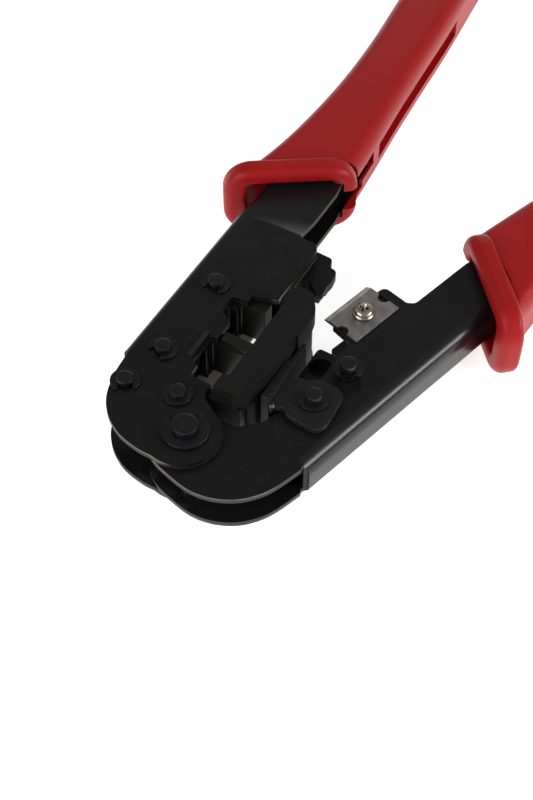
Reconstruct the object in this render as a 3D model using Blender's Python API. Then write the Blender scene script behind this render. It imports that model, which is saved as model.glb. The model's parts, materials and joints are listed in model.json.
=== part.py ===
"""Ratchet crimping tool for modular plugs (8-way and 6-way).

A run of this script in Blender 4.5 builds the whole tool, open, in metres, with +Z up.
All dimensions below are in millimetres.  They are measured from the main pivot, at half
the tool's thickness; +Y runs along the fixed handle and +X towards the moving handle.
Pieces of the moving handle are drawn in that handle's own frame, with +Y along it.
"""

import math

import bmesh
import bpy
from mathutils import Matrix, Vector

MM = 0.001
GAP = 0.3                         # clearance between pieces that touch on the real tool
RUNNING = 0.15                    # radial clearance of a pin in its hole

# Where the main pivot stands from the part's origin (centre of its footprint, on the floor).
PIVOT = Vector((-22.6, -92.45, 10.8))

# Sheet steel frames: two stacked plates joined by a folded web.
SHEET = 1.5
FIXED_HALF = 7.0                  # half height of the fixed frame over its plates
TANG_HALF = 5.7                   # the same where the frame steps in towards the grip
MOVING_HALF = 5.3                 # half height of the moving frame, nested in the fixed one
BEND_RADIUS = 2.0
OPEN_ANGLE = 14.8                 # angle between the handles at rest, degrees
FIXED_OUTER = -25.2               # outer face of the fixed frame's web
FIXED_INNER = -1.5                # inner edge of the fixed frame's head
MOVING_OUTER = 25.4               # outer face of the moving frame's web
WEB_START = 12.9                  # where both webs start, along Y

# Lower edge of each frame's head: (x, y) from its web towards the pivot, and the other way round.
FIXED_EDGE = [(-23.7, 12.9), (-22.8, 5.6), (-20.8, -0.6), (-17.4, -5.0), (-12.4, -8.1), (-6.8, -9.4),
              (-3.1, -9.5)]
MOVING_EDGE = [(-6.5, -4.4), (-4.6, -7.6), (-0.5, -9.6), (5.0, -10.0), (11.0, -9.6), (16.0, -7.6),
               (20.2, -4.0), (22.8, 0.4), (24.0, 5.0), (24.7, 12.9)]

# Pins: (x, y) of each axis.
PIVOT_R = 3.0
PIN_R = 2.0
CLIP_MOUTH = 42.0                 # half angle of a small clip's mouth
FRONT_DIE_PIN = (-17.0, 17.2)
REAR_DIE_PIN = (-17.0, 40.8)
PAWL_PIN = (-19.3, 4.8)
SPRING_PIN = (-6.9, 7.7)
LINK_PIN = (20.5, 21.6)
STOP_STUD = (13.9, 37.9)          # in the moving handle's frame
RIVET = (5.6, -5.0)               # in the moving handle's frame

# Plug slots.  The plug widths are standard: 11.7 mm with eight ways, 9.65 mm with six.
SLOT_8P = (14.2, 26.2)            # low and high edge along Y
SLOT_6P = (29.5, 39.4)
DIE_WALL = -9.2                   # face of the die that the plug's latch side rests on
DIE_CHEEK = 7.0                   # end of the die's cheek below the 8-way slot, along which the ram slides
REAR_CHEEK = -2.9                 # the same beyond the 6-way slot, where the ram's body passes
TONGUE_END = 2.0                  # end of the rib between the slots, which guides the ram
CONTACT_PITCH = 1.016
PLUG_FLOOR = (-12.5, -6.6)        # low and high edge along X of the plate under the slots

# Ram.
RAM_FACE = 2.3
RAM_BACK = 9.6
CAP_TOP = 12.0
CAP_BOTTOM = FIXED_HALF + GAP
FLANGE_BOTTOM = -10.5

# Thrust bracket.
WEB_LEFT = RAM_BACK + 0.4
WEB_RIGHT = 12.0
BRACKET_HALF = 7.3

# Cutter, in the moving handle's frame.
BLADE_X = (-1.8, 8.6)
BLADE_Y = (46.5, 61.4)
BLADE_Z = (4.9, 5.9)
SCREW = (3.9, 54.0)

# Ratchet.
TOOTH_TIP_R = 12.0
TOOTH_ROOT_R = 11.2
TOOTH_PITCH = 3.0                 # degrees
TEETH = 12
SECTOR_START = 172.0              # direction of the first tooth at rest, degrees
SECTOR_Z = (-0.6, 2.4)
PAWL_Z = (-0.4, 2.2)

# Grips: (x, y) points of the outer and inner edge, x measured away from the other handle.
GRIP_OUTER = [(31.6, 78.6), (29.2, 92.0), (27.8, 108.0), (27.4, 124.0), (28.2, 142.0), (30.0, 160.0),
              (32.6, 184.0), (33.2, 190.0)]
GRIP_INNER = [(6.6, 93.2), (7.2, 101.0), (8.2, 112.0), (9.4, 124.0), (10.8, 142.0), (12.1, 160.0),
              (14.5, 184.0), (15.1, 190.0)]
GRIP_HALF = 8.6
GRIP_END = 197.0
GUARD_OUTER = (34.8, 72.8)
GUARD_INNER = (5.8, 92.2)
GUARD_THICK = 5.8
GUARD_HALF = 10.8
GUARD_WALL = 1.6                  # what is left behind the guard's mouth
MOUTH_INSET = (6.0, 6.2)          # from the guard's outer and inner end to its mouth
SLOT_HALF = 2.6                   # half width of the slot along a grip's inner side
TANG_END = 150.0


# ---------------------------------------------------------------- drawing helpers

def arc(centre, radius, start, stop, steps):
    """Points on an arc, both ends included; angles in degrees."""
    points = []
    for i in range(steps + 1):
        angle = math.radians(start + (stop - start) * i / steps)
        points.append((centre[0] + radius * math.cos(angle), centre[1] + radius * math.sin(angle)))
    return points


def circle(centre, radius, steps=24):
    return arc(centre, radius, 0, 360, steps)[:-1]


def fillet_steps(radius):
    """Facets on a fillet: few on a small one."""
    return 1 if radius < 0.5 else 2 if radius < 1.1 else 3 if radius < 3.0 else 5 if radius < 8.0 else 8


def rounded(corners, facets=None):
    """A closed outline through corners (x, y, fillet radius)."""
    points = []
    for i, (x, y, radius) in enumerate(corners):
        steps = facets or fillet_steps(radius)
        here = Vector((x, y))
        if radius <= 0:
            points.append((x, y))
            continue
        before = (Vector(corners[i - 1][:2]) - here).normalized()
        after = (Vector(corners[(i + 1) % len(corners)][:2]) - here).normalized()
        half = before.angle(after) / 2
        reach = radius / math.tan(half)
        centre = here + (before + after).normalized() * (radius / math.sin(half))
        first = here + before * reach - centre
        sweep = first.angle_signed(here + after * reach - centre)
        for k in range(steps + 1):
            spoke = first.copy()
            spoke.rotate(Matrix.Rotation(-sweep * k / steps, 2))
            points.append(tuple(centre + spoke))
    return points


def box_outline(x0, x1, y0, y1, radius=0.0, facets=None):
    return rounded([(x0, y0, radius), (x1, y0, radius), (x1, y1, radius), (x0, y1, radius)], facets)


def smooth(points, steps):
    """Catmull-Rom curve through points, ends included."""
    ends = [2 * Vector(points[0]) - Vector(points[1])]
    ends += [Vector(p) for p in points]
    ends += [2 * Vector(points[-1]) - Vector(points[-2])]
    curve = []
    for i in range(1, len(ends) - 2):
        a, b, c, d = ends[i - 1:i + 3]
        for k in range(steps):
            t = k / steps
            curve.append(0.5 * (2 * b + (c - a) * t + (2 * a - 5 * b + 4 * c - d) * t ** 2
                                + (3 * b - a - 3 * c + d) * t ** 3))
    curve.append(ends[-2])
    return curve


# ---------------------------------------------------------------- object helpers

def material(name, color, roughness, metallic):
    found = bpy.data.materials.get(name)
    if found:
        return found
    made = bpy.data.materials.new(name)
    made.use_nodes = True
    shader = made.node_tree.nodes["Principled BSDF"]
    shader.inputs["Base Color"].default_value = (*color, 1.0)
    shader.inputs["Roughness"].default_value = roughness
    shader.inputs["Metallic"].default_value = metallic
    return made


def black_steel(name):
    return material("black_steel_" + name, (0.014, 0.014, 0.017), 0.38, 0.55)


def bright_steel(name):
    return material("bright_steel_" + name, (0.42, 0.40, 0.38), 0.28, 1.0)


def red_plastic(name):
    return material("red_plastic_" + name, (0.45, 0.010, 0.012), 0.3, 0.0)


def empty(name, place, parent=None, angle=0.0):
    """A frame whose origin lies on a joint's axis."""
    made = bpy.data.objects.new(name, None)
    made.empty_display_size = 0.01
    made.parent = parent
    made.location = Vector(place) * MM
    made.rotation_euler = (0.0, 0.0, math.radians(angle))
    bpy.context.scene.collection.objects.link(made)
    return made


def add(name, sections, parent, finish=None, cutter=False):
    """A closed solid lofted through sections, each a loop of (x, y, z) in millimetres."""
    mesh = bpy.data.meshes.new(name)
    bm = bmesh.new()
    loops = [[bm.verts.new(Vector(p) * MM) for p in section] for section in sections]
    count = len(loops[0])
    for low, high in zip(loops, loops[1:]):
        for i in range(count):
            j = (i + 1) % count
            bm.faces.new((low[i], low[j], high[j], high[i]))
    bm.faces.new(list(reversed(loops[0])))
    bm.faces.new(loops[-1])
    bmesh.ops.recalc_face_normals(bm, faces=bm.faces)
    bm.to_mesh(mesh)
    bm.free()
    mesh.shade_smooth()
    mesh.set_sharp_from_angle(angle=math.radians(32))
    made = bpy.data.objects.new(name, mesh)
    bpy.context.scene.collection.objects.link(made)
    made.parent = parent
    # A parent frame that stands away from the pivot has its drawing shifted back.
    made.location = -Vector(parent.get("offset", (0.0, 0.0, 0.0))) * MM
    if finish:
        mesh.materials.append(finish)
    if cutter:
        made.hide_render = True
        made.display_type = "WIRE"
    return made


def prism(name, outline, z0, z1, parent, finish=None, cutter=False):
    levels = [[(x, y, z) for x, y in outline] for z in (z0, z1)]
    return add(name, levels, parent, finish, cutter)


def turned(name, centre, profile, parent, finish, steps=18):
    """A solid of revolution from profile points (radius, z), low to high."""
    sections = [[(x, y, z) for x, y in circle(centre, radius, steps)] for radius, z in profile]
    return add(name, sections, parent, finish)


def boolean(target, tool, operation="DIFFERENCE"):
    step = target.modifiers.new(operation.lower(), "BOOLEAN")
    step.operation = operation
    step.solver = "EXACT"
    step.object = tool


def cut(target, outline, z0, z1):
    """Cut a prism out of target."""
    number = len(target.modifiers)
    boolean(target, prism(f"cut_{target.name}_{number}", outline, z0, z1, target.parent, cutter=True))


def join(target, outline, z0, z1):
    """Join a prism to target."""
    number = len(target.modifiers)
    tool = prism(f"join_{target.name}_{number}", outline, z0, z1, target.parent, cutter=True)
    boolean(target, tool, "UNION")


def drill(target, centre, radius, z0=-20.0, z1=20.0):
    cut(target, circle(centre, radius, 18), z0, z1)


def channel(y_stations, outer_x, far_x, half_heights, radius):
    """Sections across Y of a channel's inside or outside: round next to outer_x, open at far_x."""
    side = 1.0 if far_x > outer_x else -1.0
    sections = []
    for y, half in zip(y_stations, half_heights):
        loop = [(far_x, y, -half)]
        for x, z in arc((outer_x + side * radius, -half + radius), radius, 270, 180, 5):
            loop.append((x if side > 0 else 2 * (outer_x + side * radius) - x, y, z))
        for x, z in arc((outer_x + side * radius, half - radius), radius, 180, 90, 5):
            loop.append((x if side > 0 else 2 * (outer_x + side * radius) - x, y, z))
        loop.append((far_x, y, half))
        sections.append(loop)
    return sections


# ---------------------------------------------------------------- frames

def shape_channel(frame, outer_x, stations, halves):
    """Turn a solid of a frame's outline into two plates and a folded web along outer_x."""
    side = 1.0 if outer_x < 0 else -1.0
    far = side * 80.0
    inner = [half - SHEET for half in halves]
    hollow = add("hollow_" + frame.name, channel(stations, outer_x + side * SHEET, far, inner,
                                                 BEND_RADIUS - SHEET + 0.4), frame.parent, cutter=True)
    # What lies outside the folded section, above the point where the web starts.
    around = prism("around_" + frame.name, box_outline(-90, 90, WEB_START, 230), -30, 30,
                   frame.parent, cutter=True)
    section = add("section_" + frame.name, channel(stations, outer_x, far, halves, BEND_RADIUS),
                  frame.parent, cutter=True)
    boolean(around, section)
    boolean(frame, around)
    boolean(frame, hollow)
    # Below that point the plates are not joined.
    low = outer_x - side * 6.0
    high = outer_x + side * 4.0
    cut(frame, box_outline(min(low, high), max(low, high), -40, WEB_START), -inner[0], inner[0])


def fixed_outline():
    lobe = arc((-0.6, -0.7), 9.1, -106, 48, 14)
    corners = [(-1.9, 10.3, 3.0), (-1.9, 13.9, 0), (-7.6, 13.9, 0.8), (-7.6, 17.3, 0.3),
               (-9.3, 17.9, 0.3), (-9.3, 26.2, 0.3), (-7.7, 26.2, 0.3), (-7.9, 32.4, 0.8),
               (-11.6, 34.2, 1.2), (-11.6, 39.3, 1.2), (-7.6, 39.5, 0.3), (-7.5, 41.9, 0.5),
               (FIXED_INNER, 43.7, 0.4), (FIXED_INNER, 62.9, 0.6), (-3.0, 64.5, 0.4),
               (-7.4, 64.7, 1.0), (-7.4, 84.0, 0), (-9.8, 98.0, 3), (-12.6, TANG_END, 3),
               (-20.4, TANG_END, 3), (-21.4, 92.0, 3), (FIXED_OUTER, 79.5, 3), (FIXED_OUTER, WEB_START, 0)]
    return lobe[1:-1] + rounded([(*lobe[-1], 0), *corners]) + smooth(FIXED_EDGE, 3)


def fixed_frame(parent):
    frame = prism("fixed_frame", fixed_outline(), -FIXED_HALF, FIXED_HALF, parent, black_steel("fixed_frame"))
    stations = [-30, 68.5, 75.5, 170]
    halves = [FIXED_HALF, FIXED_HALF, TANG_HALF, TANG_HALF]
    shape_channel(frame, FIXED_OUTER, stations, halves)
    # The lower plate reaches under the slots, so that a plug rests on it.
    join(frame, box_outline(*PLUG_FLOOR, 13.0, 44.5, 0.5), -FIXED_HALF, SHEET - FIXED_HALF)
    # Lanced tab beside the latch pocket, bent up out of the top plate.
    join(frame, box_outline(-11.1, -9.6, 18.5, 26.5, 0.6), FIXED_HALF - 0.6, FIXED_HALF + 1.3)
    drill(frame, (0, 0), PIVOT_R + RUNNING)
    for centre in (FRONT_DIE_PIN, REAR_DIE_PIN, PAWL_PIN, SPRING_PIN):
        drill(frame, centre, PIN_R + RUNNING)


def moving_outline():
    lobe = arc((0, 0), 7.8, 86, 214, 10)
    corners = [(MOVING_OUTER, WEB_START, 0), (MOVING_OUTER, 79.5, 3), (21.8, 92.0, 3), (20.8, TANG_END, 3),
               (13.0, TANG_END, 3), (11.8, 98.0, 3), (10.4, 84.0, 3), (10.2, 65.6, 2.0), (8.6, 64.3, 0.8),
               (1.4, 64.3, 1.6), (0.9, 46.3, 0.8), (6.6, 45.8, 1.0), (7.9, 44.2, 0.8), (8.0, 40.6, 0.6),
               (10.6, 32.0, 3.0), (9.6, 14.6, 5.0), (6.4, 9.6, 2.5), (*lobe[0], 0)]
    return lobe[1:-1] + smooth(MOVING_EDGE, 3) + rounded(corners)


def moving_frame(parent):
    frame = prism("moving_frame", moving_outline(), -MOVING_HALF, MOVING_HALF, parent,
                  black_steel("moving_frame"))
    shape_channel(frame, MOVING_OUTER, [-30, 170], [MOVING_HALF, MOVING_HALF])
    cut(frame, box_outline(-4.0, BLADE_X[1] + GAP, BLADE_Y[0] - GAP, BLADE_Y[1] + GAP), BLADE_Z[0] - GAP, 9)
    drill(frame, (0, 0), PIVOT_R + RUNNING)
    link = Matrix.Rotation(math.radians(OPEN_ANGLE), 2) @ Vector(LINK_PIN)
    drill(frame, link, PIN_R + RUNNING)
    drill(frame, STOP_STUD, PIN_R + RUNNING, 0)
    drill(frame, RIVET, 1.5 + RUNNING)
    drill(frame, SCREW, 1.5 + RUNNING, 0)


# ---------------------------------------------------------------- pins and clips

def pin(name, centre, radius, head, base, top, clip_z, parent):
    """A headed pin with a clip groove and a chamfered end that stands proud of the clip."""
    low = base + head[1]
    groove = radius - 0.5
    profile = [(head[0] - 0.3, base), (head[0], base + 0.3), (head[0], low), (radius, low),
               (radius, clip_z[0]), (groove, clip_z[0]), (groove, clip_z[1]), (radius, clip_z[1]),
               (radius, top - 0.4), (radius - 0.5, top)]
    turned(name, centre, profile, parent, black_steel(name))


def clip(name, centre, bore, outer, z, opening, mouth, parent):
    """An E-shaped retaining clip: prongs on the groove, and a mouth of that half angle towards opening."""
    relief = bore + (outer - bore) * 0.42
    start = opening + mouth
    span = 360.0 - 2 * mouth
    outline = arc(centre, outer, start, start + span, 22)
    outline.append(arc(centre, outer - 0.35, start + span + 5, 0, 1)[0])
    for low, high, radius in ((0.93, 0.80, bore), (0.78, 0.60, relief), (0.56, 0.44, bore),
                              (0.40, 0.22, relief), (0.20, 0.07, bore)):
        outline += arc(centre, radius, start + span * low, start + span * high, 3)
    outline.append(arc(centre, outer - 0.35, start - 5, 0, 1)[0])
    prism(name, outline, z[0], z[1], parent, black_steel(name))


def held_pin(name, centre, opening, plate_half, parent, stand=1.9):
    """A small pin through two plates with its clip on the top one."""
    clip_z = (plate_half + 0.15, plate_half + 0.75)
    pin(name + "_pin", centre, PIN_R, (3.0, 1.2), -plate_half - 1.5, plate_half + stand,
        (clip_z[0] - 0.1, clip_z[1] + 0.1), parent)
    clip(name + "_clip", centre, PIN_R - 0.35, 3.5, clip_z, opening, CLIP_MOUTH, parent)


def pivot(parent):
    clip_z = (FIXED_HALF + 0.15, FIXED_HALF + 0.95)
    pin("pivot_pin", (0, 0), PIVOT_R, (4.8, 1.5), -FIXED_HALF - 1.8, FIXED_HALF + 2.7,
        (clip_z[0] - 0.1, clip_z[1] + 0.1), parent)
    clip("pivot_clip", (0, 0), PIVOT_R - 0.35, 5.5, clip_z, 128.0, 51.0, parent)


def stop_stud(parent):
    """A stud clipped through the moving frame's top plate, where the ram's link ends its travel."""
    clip_z = (MOVING_HALF + 2.6, MOVING_HALF + 3.2)
    pin("stop_stud", STOP_STUD, PIN_R, (2.7, 0.6), MOVING_HALF - SHEET - 0.9, MOVING_HALF + 5.0,
        (clip_z[0] - 0.1, clip_z[1] + 0.1), parent)
    clip("stop_stud_clip", STOP_STUD, PIN_R - 0.35, 3.5, clip_z, 315.0, CLIP_MOUTH, parent)


# ---------------------------------------------------------------- die

def die_block(parent):
    """The fixed die between the plates, with a slot for each plug and its latch."""
    half = FIXED_HALF - SHEET - GAP
    outline = [(-23.3, 13.6, 1.0), (-20.0, 10.4, 1.0), (-8.4, 11.2, 0.5), (DIE_CHEEK, 11.9, 0.5),
               (DIE_CHEEK, SLOT_8P[0], 0.4), (DIE_WALL, SLOT_8P[0], 0.4),
               (DIE_WALL, 17.2, 0.2), (-11.4, 17.2, 0.4), (-11.4, 23.2, 0.4), (DIE_WALL, 23.2, 0.2),
               (DIE_WALL, SLOT_8P[1], 0.4), (TONGUE_END, SLOT_8P[1], 0.6),
               (TONGUE_END, SLOT_6P[0], 0.6), (DIE_WALL, SLOT_6P[0], 0.4),
               (DIE_WALL, 31.5, 0.2), (-11.4, 31.5, 0.4), (-11.4, 37.4, 0.4), (DIE_WALL, 37.4, 0.2),
               (DIE_WALL, SLOT_6P[1], 0.4), (REAR_CHEEK, SLOT_6P[1], 0.4),
               (REAR_CHEEK, 43.2, 0.5), (-4.6, 45.6, 0.5), (-23.3, 45.6, 1.0)]
    die = prism("die_block", rounded(outline), -half, half, parent, black_steel("die_block"))
    join(die, box_outline(-7.0, TONGUE_END - 0.4, SLOT_8P[1] + 0.25, SLOT_6P[0] - 0.25, 0.3),
         half - 1.0, FIXED_HALF - 0.1)
    for y in (15.0, 24.1, 25.2, 30.2, 38.1):
        cut(die, box_outline(DIE_WALL - 0.8, DIE_WALL + 0.5, y, y + 0.6), -9, 9)
    for centre in (FRONT_DIE_PIN, REAR_DIE_PIN):
        drill(die, centre, PIN_R + RUNNING)


def liner_plates(parent):
    """Two hardened strips behind the fixed frame's inner edge, which clamp the cable guide."""
    outline = rounded([(-23.0, 46.4, 1), (-1.1, 46.4, 0.6), (-1.1, 62.4, 0.6), (-3.4, 64.0, 0.6),
                       (-23.0, 64.0, 1)])
    top = FIXED_HALF - SHEET - GAP
    prism("upper_liner_plate", outline, top - 1.2, top, parent, bright_steel("upper_liner_plate"))
    prism("lower_liner_plate", outline, -top, 1.2 - top, parent, bright_steel("lower_liner_plate"))


def cable_guide(parent):
    """The notched guide that holds a cable square to the blade."""
    outline = rounded([(-12.0, 47.0, 1.0), (-2.2, 47.0, 1.0), (-2.2, 56.4, 0.6), (0.3, 56.8, 0.4),
                       (2.4, 54.2, 0.8), (3.8, 52.6, 0.6), (5.2, 53.0, 0.6), (4.8, 56.9, 0.4),
                       (5.3, 58.6, 0.8), (4.9, 62.4, 1.2), (2.2, 63.0, 0.4), (1.2, 65.6, 0.8),
                       (-3.2, 65.7, 0.8), (-4.4, 63.4, 0.4), (-12.0, 63.4, 1.0)])
    guide = prism("cable_guide", outline, -3.3, 3.3, parent,
                  material("black_plastic_cable_guide", (0.015, 0.015, 0.016), 0.45, 0.0))
    cut(guide, box_outline(2.4, 9.0, 60.2, 61.0), -9, 9)


# ---------------------------------------------------------------- ram

def ram_outline(face, back, step_back):
    bottom = [(face - 1.6, 10.4, 0.3), (5.6, 10.8, 2.0), (8.6, 14.2, 4.0), (back, 20.0, 3.0)]
    rear = [(back, 32.6, 0), (step_back, 32.6, 0), (step_back, 41.0, 6.0), (6.6, 46.4, 4.0), (1.2, 46.2, 3.0)]
    front = [(face - 1.4, 41.0, 0.3), (face, 40.6, 0.3), (face, 15.2, 0.3), (face - 1.5, 14.6, 0.3)]
    return rounded(bottom + rear + front)


def ram_block(parent):
    """The pressing ram: a D-shaped cap over the plates, a body between them and a bottom flange."""
    cap = ram_outline(RAM_FACE, RAM_BACK, RAM_BACK + 0.6)
    body = rounded([(2.6, 14.6, 0.3), (8.3, 14.9, 3.0), (RAM_BACK - 0.3, 20.2, 3.0),
                    (RAM_BACK - 0.3, 32.9, 0), (RAM_BACK + 0.3, 32.9, 0), (RAM_BACK + 0.3, 40.4, 5.0),
                    (6.4, 45.8, 3.0), (4.0, 45.8, 0.5), (4.0, 42.5, 0), (2.6, 42.5, 0.3)])
    # Where the ram's lower end stands over the frames.
    collar = rounded([(3.5, 10.9, 0.3), (5.5, 11.1, 2.0), (8.4, 14.4, 3.0), (8.4, 16.0, 0), (3.5, 16.0, 0)])
    ram = prism("ram_block", cap, CAP_BOTTOM, CAP_TOP, parent, black_steel("ram_block"))
    join(ram, body, -CAP_BOTTOM - 0.5, CAP_BOTTOM + 0.5)
    join(ram, collar, MOVING_HALF + GAP, CAP_BOTTOM + 0.5)
    join(ram, cap, FLANGE_BOTTOM, -CAP_BOTTOM)
    # Slot that runs on the tongue between the two plug slots.
    cut(ram, box_outline(0.0, 7.6, SLOT_8P[1] - 0.25, SLOT_6P[0] + 0.25), -CAP_BOTTOM - 0.1, CAP_BOTTOM)
    for low, high in ((15.2, 25.2), (31.0, 38.0)):
        for z0, z1 in ((-4.9, -1.6), (0.7, 3.6)):
            cut(ram, box_outline(0.0, 5.4, low - GAP, high + GAP), z0, z1)


def contact_punch(name, low, high, ways, parent):
    """A comb of blades, one for each contact of the plug."""
    centre = (low + high) / 2
    outline = [(5.1, low), (5.1, high), (2.9, high)]
    for i in reversed(range(ways)):
        y = centre + (i - (ways - 1) / 2) * CONTACT_PITCH
        outline += [(2.9, y + 0.25), (1.7, y + 0.22), (1.7, y - 0.22), (2.9, y - 0.25)]
    outline.append((2.9, low))
    prism(name, outline, -4.6, -1.9, parent, bright_steel(name))


def strain_punch(name, low, high, parent):
    """A blunt wedge that folds the plug's strain relief on to the cable."""
    section = [(5.1, 1.0), (5.1, 3.3), (2.6, 3.3), (1.6, 2.6), (1.6, 1.7), (2.6, 1.0)]
    sections = [[(x, y, z) for x, z in section] for y in (low, high)]
    add(name, sections, parent, bright_steel(name))


# ---------------------------------------------------------------- thrust bracket

def bracket_plate_outline():
    return rounded([(WEB_LEFT + 0.4, 16.0, 0), (15.9, 16.2, 1.0), (17.2, 14.9, 1.2), (24.6, 14.2, 1.8),
                    (26.4, 16.6, 2.5), (25.9, 26.0, 2.0), (23.6, 27.6, 1.5), (18.2, 27.2, 2.0),
                    (16.6, 25.8, 1.5), (WEB_LEFT + 0.4, 25.4, 0)])


def thrust_bracket(parent):
    """Bracket folded from sheet: its web pushes the ram, its two plates straddle the moving frame."""
    web = box_outline(WEB_LEFT, WEB_RIGHT, 15.9, 28.2)
    bracket = prism("thrust_bracket", web, -BRACKET_HALF, BRACKET_HALF + 1.2, parent,
                    black_steel("thrust_bracket"))
    join(bracket, box_outline(WEB_LEFT + 0.6, WEB_RIGHT - 0.4, 27.5, 34.4, 0.3), -4.5, BRACKET_HALF + 1.0)
    for z0 in (-BRACKET_HALF + 0.1, BRACKET_HALF - SHEET - 0.1):
        join(bracket, bracket_plate_outline(), z0, z0 + SHEET)
    drill(bracket, LINK_PIN, PIN_R + RUNNING)


def link_plate(parent):
    """Folded plate on the bracket's web, between the moving frame's plates; its upper leaf is bored."""
    left = WEB_RIGHT + GAP
    upper = rounded([(left, 26.0, 0.5), (16.5, 25.0, 1.5), (21.4, 29.0, 2.0), (21.4, 38.9, 1.5),
                     (left, 39.2, 1.0)])
    lower = rounded([(left, 27.0, 0.5), (16.5, 26.0, 1.5), (20.6, 30.0, 2.0), (17.4, 37.6, 1.5),
                     (left, 40.2, 0.5)])
    plate = prism("link_plate", upper, 0.5, 2.3, parent, black_steel("link_plate"))
    join(plate, lower, -2.3, -0.9)
    join(plate, box_outline(left, left + 0.8, 28.0, 38.0), -1.5, 1.0)
    cut(plate, circle((15.6, 34.0), 2.9, 18), 0.0, 9.0)


def bracket_rivet(parent):
    """Ball-ended rivet at the web's lower end, which the bracket's two leaves are closed with."""
    profile = [(0.45, 6.2), (0.45, 7.2), (0.75, 7.4), (0.85, 7.8), (0.7, 8.2), (0.35, 8.45)]
    turned("bracket_rivet", (13.4, 15.0), profile, parent, bright_steel("bracket_rivet"), 12)


def link_pin(parent):
    clip_z = (BRACKET_HALF + 0.15, BRACKET_HALF + 0.75)
    pin("link_pin", LINK_PIN, PIN_R, (2.9, 1.0), -BRACKET_HALF - 1.2, BRACKET_HALF + 2.6,
        (clip_z[0] - 0.1, clip_z[1] + 0.1), parent)
    clip("link_clip", LINK_PIN, PIN_R - 0.35, 3.5, clip_z, 110.0, CLIP_MOUTH, parent)


# ---------------------------------------------------------------- ratchet and springs

def ratchet_sector(parent):
    """Toothed sector on the moving frame; drawn in that frame, so its teeth are turned with it."""
    first = SECTOR_START + OPEN_ANGLE
    outline = arc((0, 0), 7.4, 40, first - 14, 10)
    for i in range(TEETH):
        angle = first + i * TOOTH_PITCH
        outline += arc((0, 0), TOOTH_ROOT_R, angle, angle, 1)[:1]
        outline += arc((0, 0), TOOTH_TIP_R, angle + 0.4, angle + 0.4, 1)[:1]
    last = first + TEETH * TOOTH_PITCH
    outline += arc((0, 0), TOOTH_ROOT_R, last, last, 1)[:1]
    outline += arc((0, 0), 7.4, last + 16, 292, 6)
    outline += arc(RIVET, 3.0, 270, 372, 5)
    finish = bright_steel("ratchet_sector")
    sector = prism("ratchet_sector", outline, SECTOR_Z[0], SECTOR_Z[1], parent, finish)
    drill(sector, (0, 0), PIVOT_R + RUNNING)
    drill(sector, RIVET, 1.5 + RUNNING)


def sector_rivet(parent):
    profile = [(1.5, -MOVING_HALF + 0.1), (1.5, MOVING_HALF - 0.1)]
    turned("sector_rivet", RIVET, profile, parent, bright_steel("sector_rivet"), 16)


def ratchet_pawl(parent):
    hub = Vector(PAWL_PIN)
    reach = math.radians(186.0)
    tip = Vector((math.cos(reach), math.sin(reach))) * (TOOTH_TIP_R + 0.3)
    along = (tip - hub).normalized()
    across = Vector((-along.y, along.x))
    bearing = math.degrees(math.atan2(along.y, along.x))
    outline = arc(PAWL_PIN, 3.1, bearing + 50, bearing + 310, 14)
    outline.append(tuple(tip - along * 2.4 - across * 1.3))
    outline.append(tuple(tip - across * 0.3))
    outline.append(tuple(tip + across * 0.3))
    outline.append(tuple(tip - along * 1.6 + across * 1.1))
    pawl = prism("ratchet_pawl", outline, PAWL_Z[0], PAWL_Z[1], parent, bright_steel("ratchet_pawl"))
    drill(pawl, PAWL_PIN, PIN_R + RUNNING)


def wire(name, path, radius, parent, sides=5):
    """A round wire along path, closed at both ends."""
    sections = []
    for i, point in enumerate(path):
        before = path[max(i - 1, 0)]
        after = path[min(i + 1, len(path) - 1)]
        along = (after - before).normalized()
        out = along.cross(Vector((0, 0, 1))).normalized()
        up = out.cross(along)
        ring = []
        for k in range(sides):
            angle = 2 * math.pi * k / sides
            ring.append(tuple(point + out * radius * math.cos(angle) + up * radius * math.sin(angle)))
        sections.append(ring)
    add(name, sections, parent, bright_steel(name))


def torsion_spring(name, centre, radius, wire_r, z0, pitch, start, turns, legs, parent):
    """A coil about a pin with a straight leg along the tangent at each end."""
    steps = round(turns * 14)
    coil = []
    for i in range(steps + 1):
        angle = math.radians(start) + 2 * math.pi * turns * i / steps
        coil.append(Vector((centre[0] + radius * math.cos(angle), centre[1] + radius * math.sin(angle),
                            z0 + pitch * turns * i / steps)))
    first = (coil[0] - coil[1]) * Vector((1, 1, 0))
    last = (coil[-1] - coil[-2]) * Vector((1, 1, 0))
    path = [coil[0] + first.normalized() * legs[0], *coil, coil[-1] + last.normalized() * legs[1]]
    wire(name, path, wire_r, parent)


def springs(fixed):
    torsion_spring("return_spring", (0, 0), 5.0, 0.45, -3.0, 1.1, 20, 1.45, (7.0, 4.6), fixed)
    torsion_spring("pawl_spring", PAWL_PIN, 2.75, 0.28, 2.8, 0.75, 200, 2.2, (5.0, 4.0), fixed)


# ---------------------------------------------------------------- cutter

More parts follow.
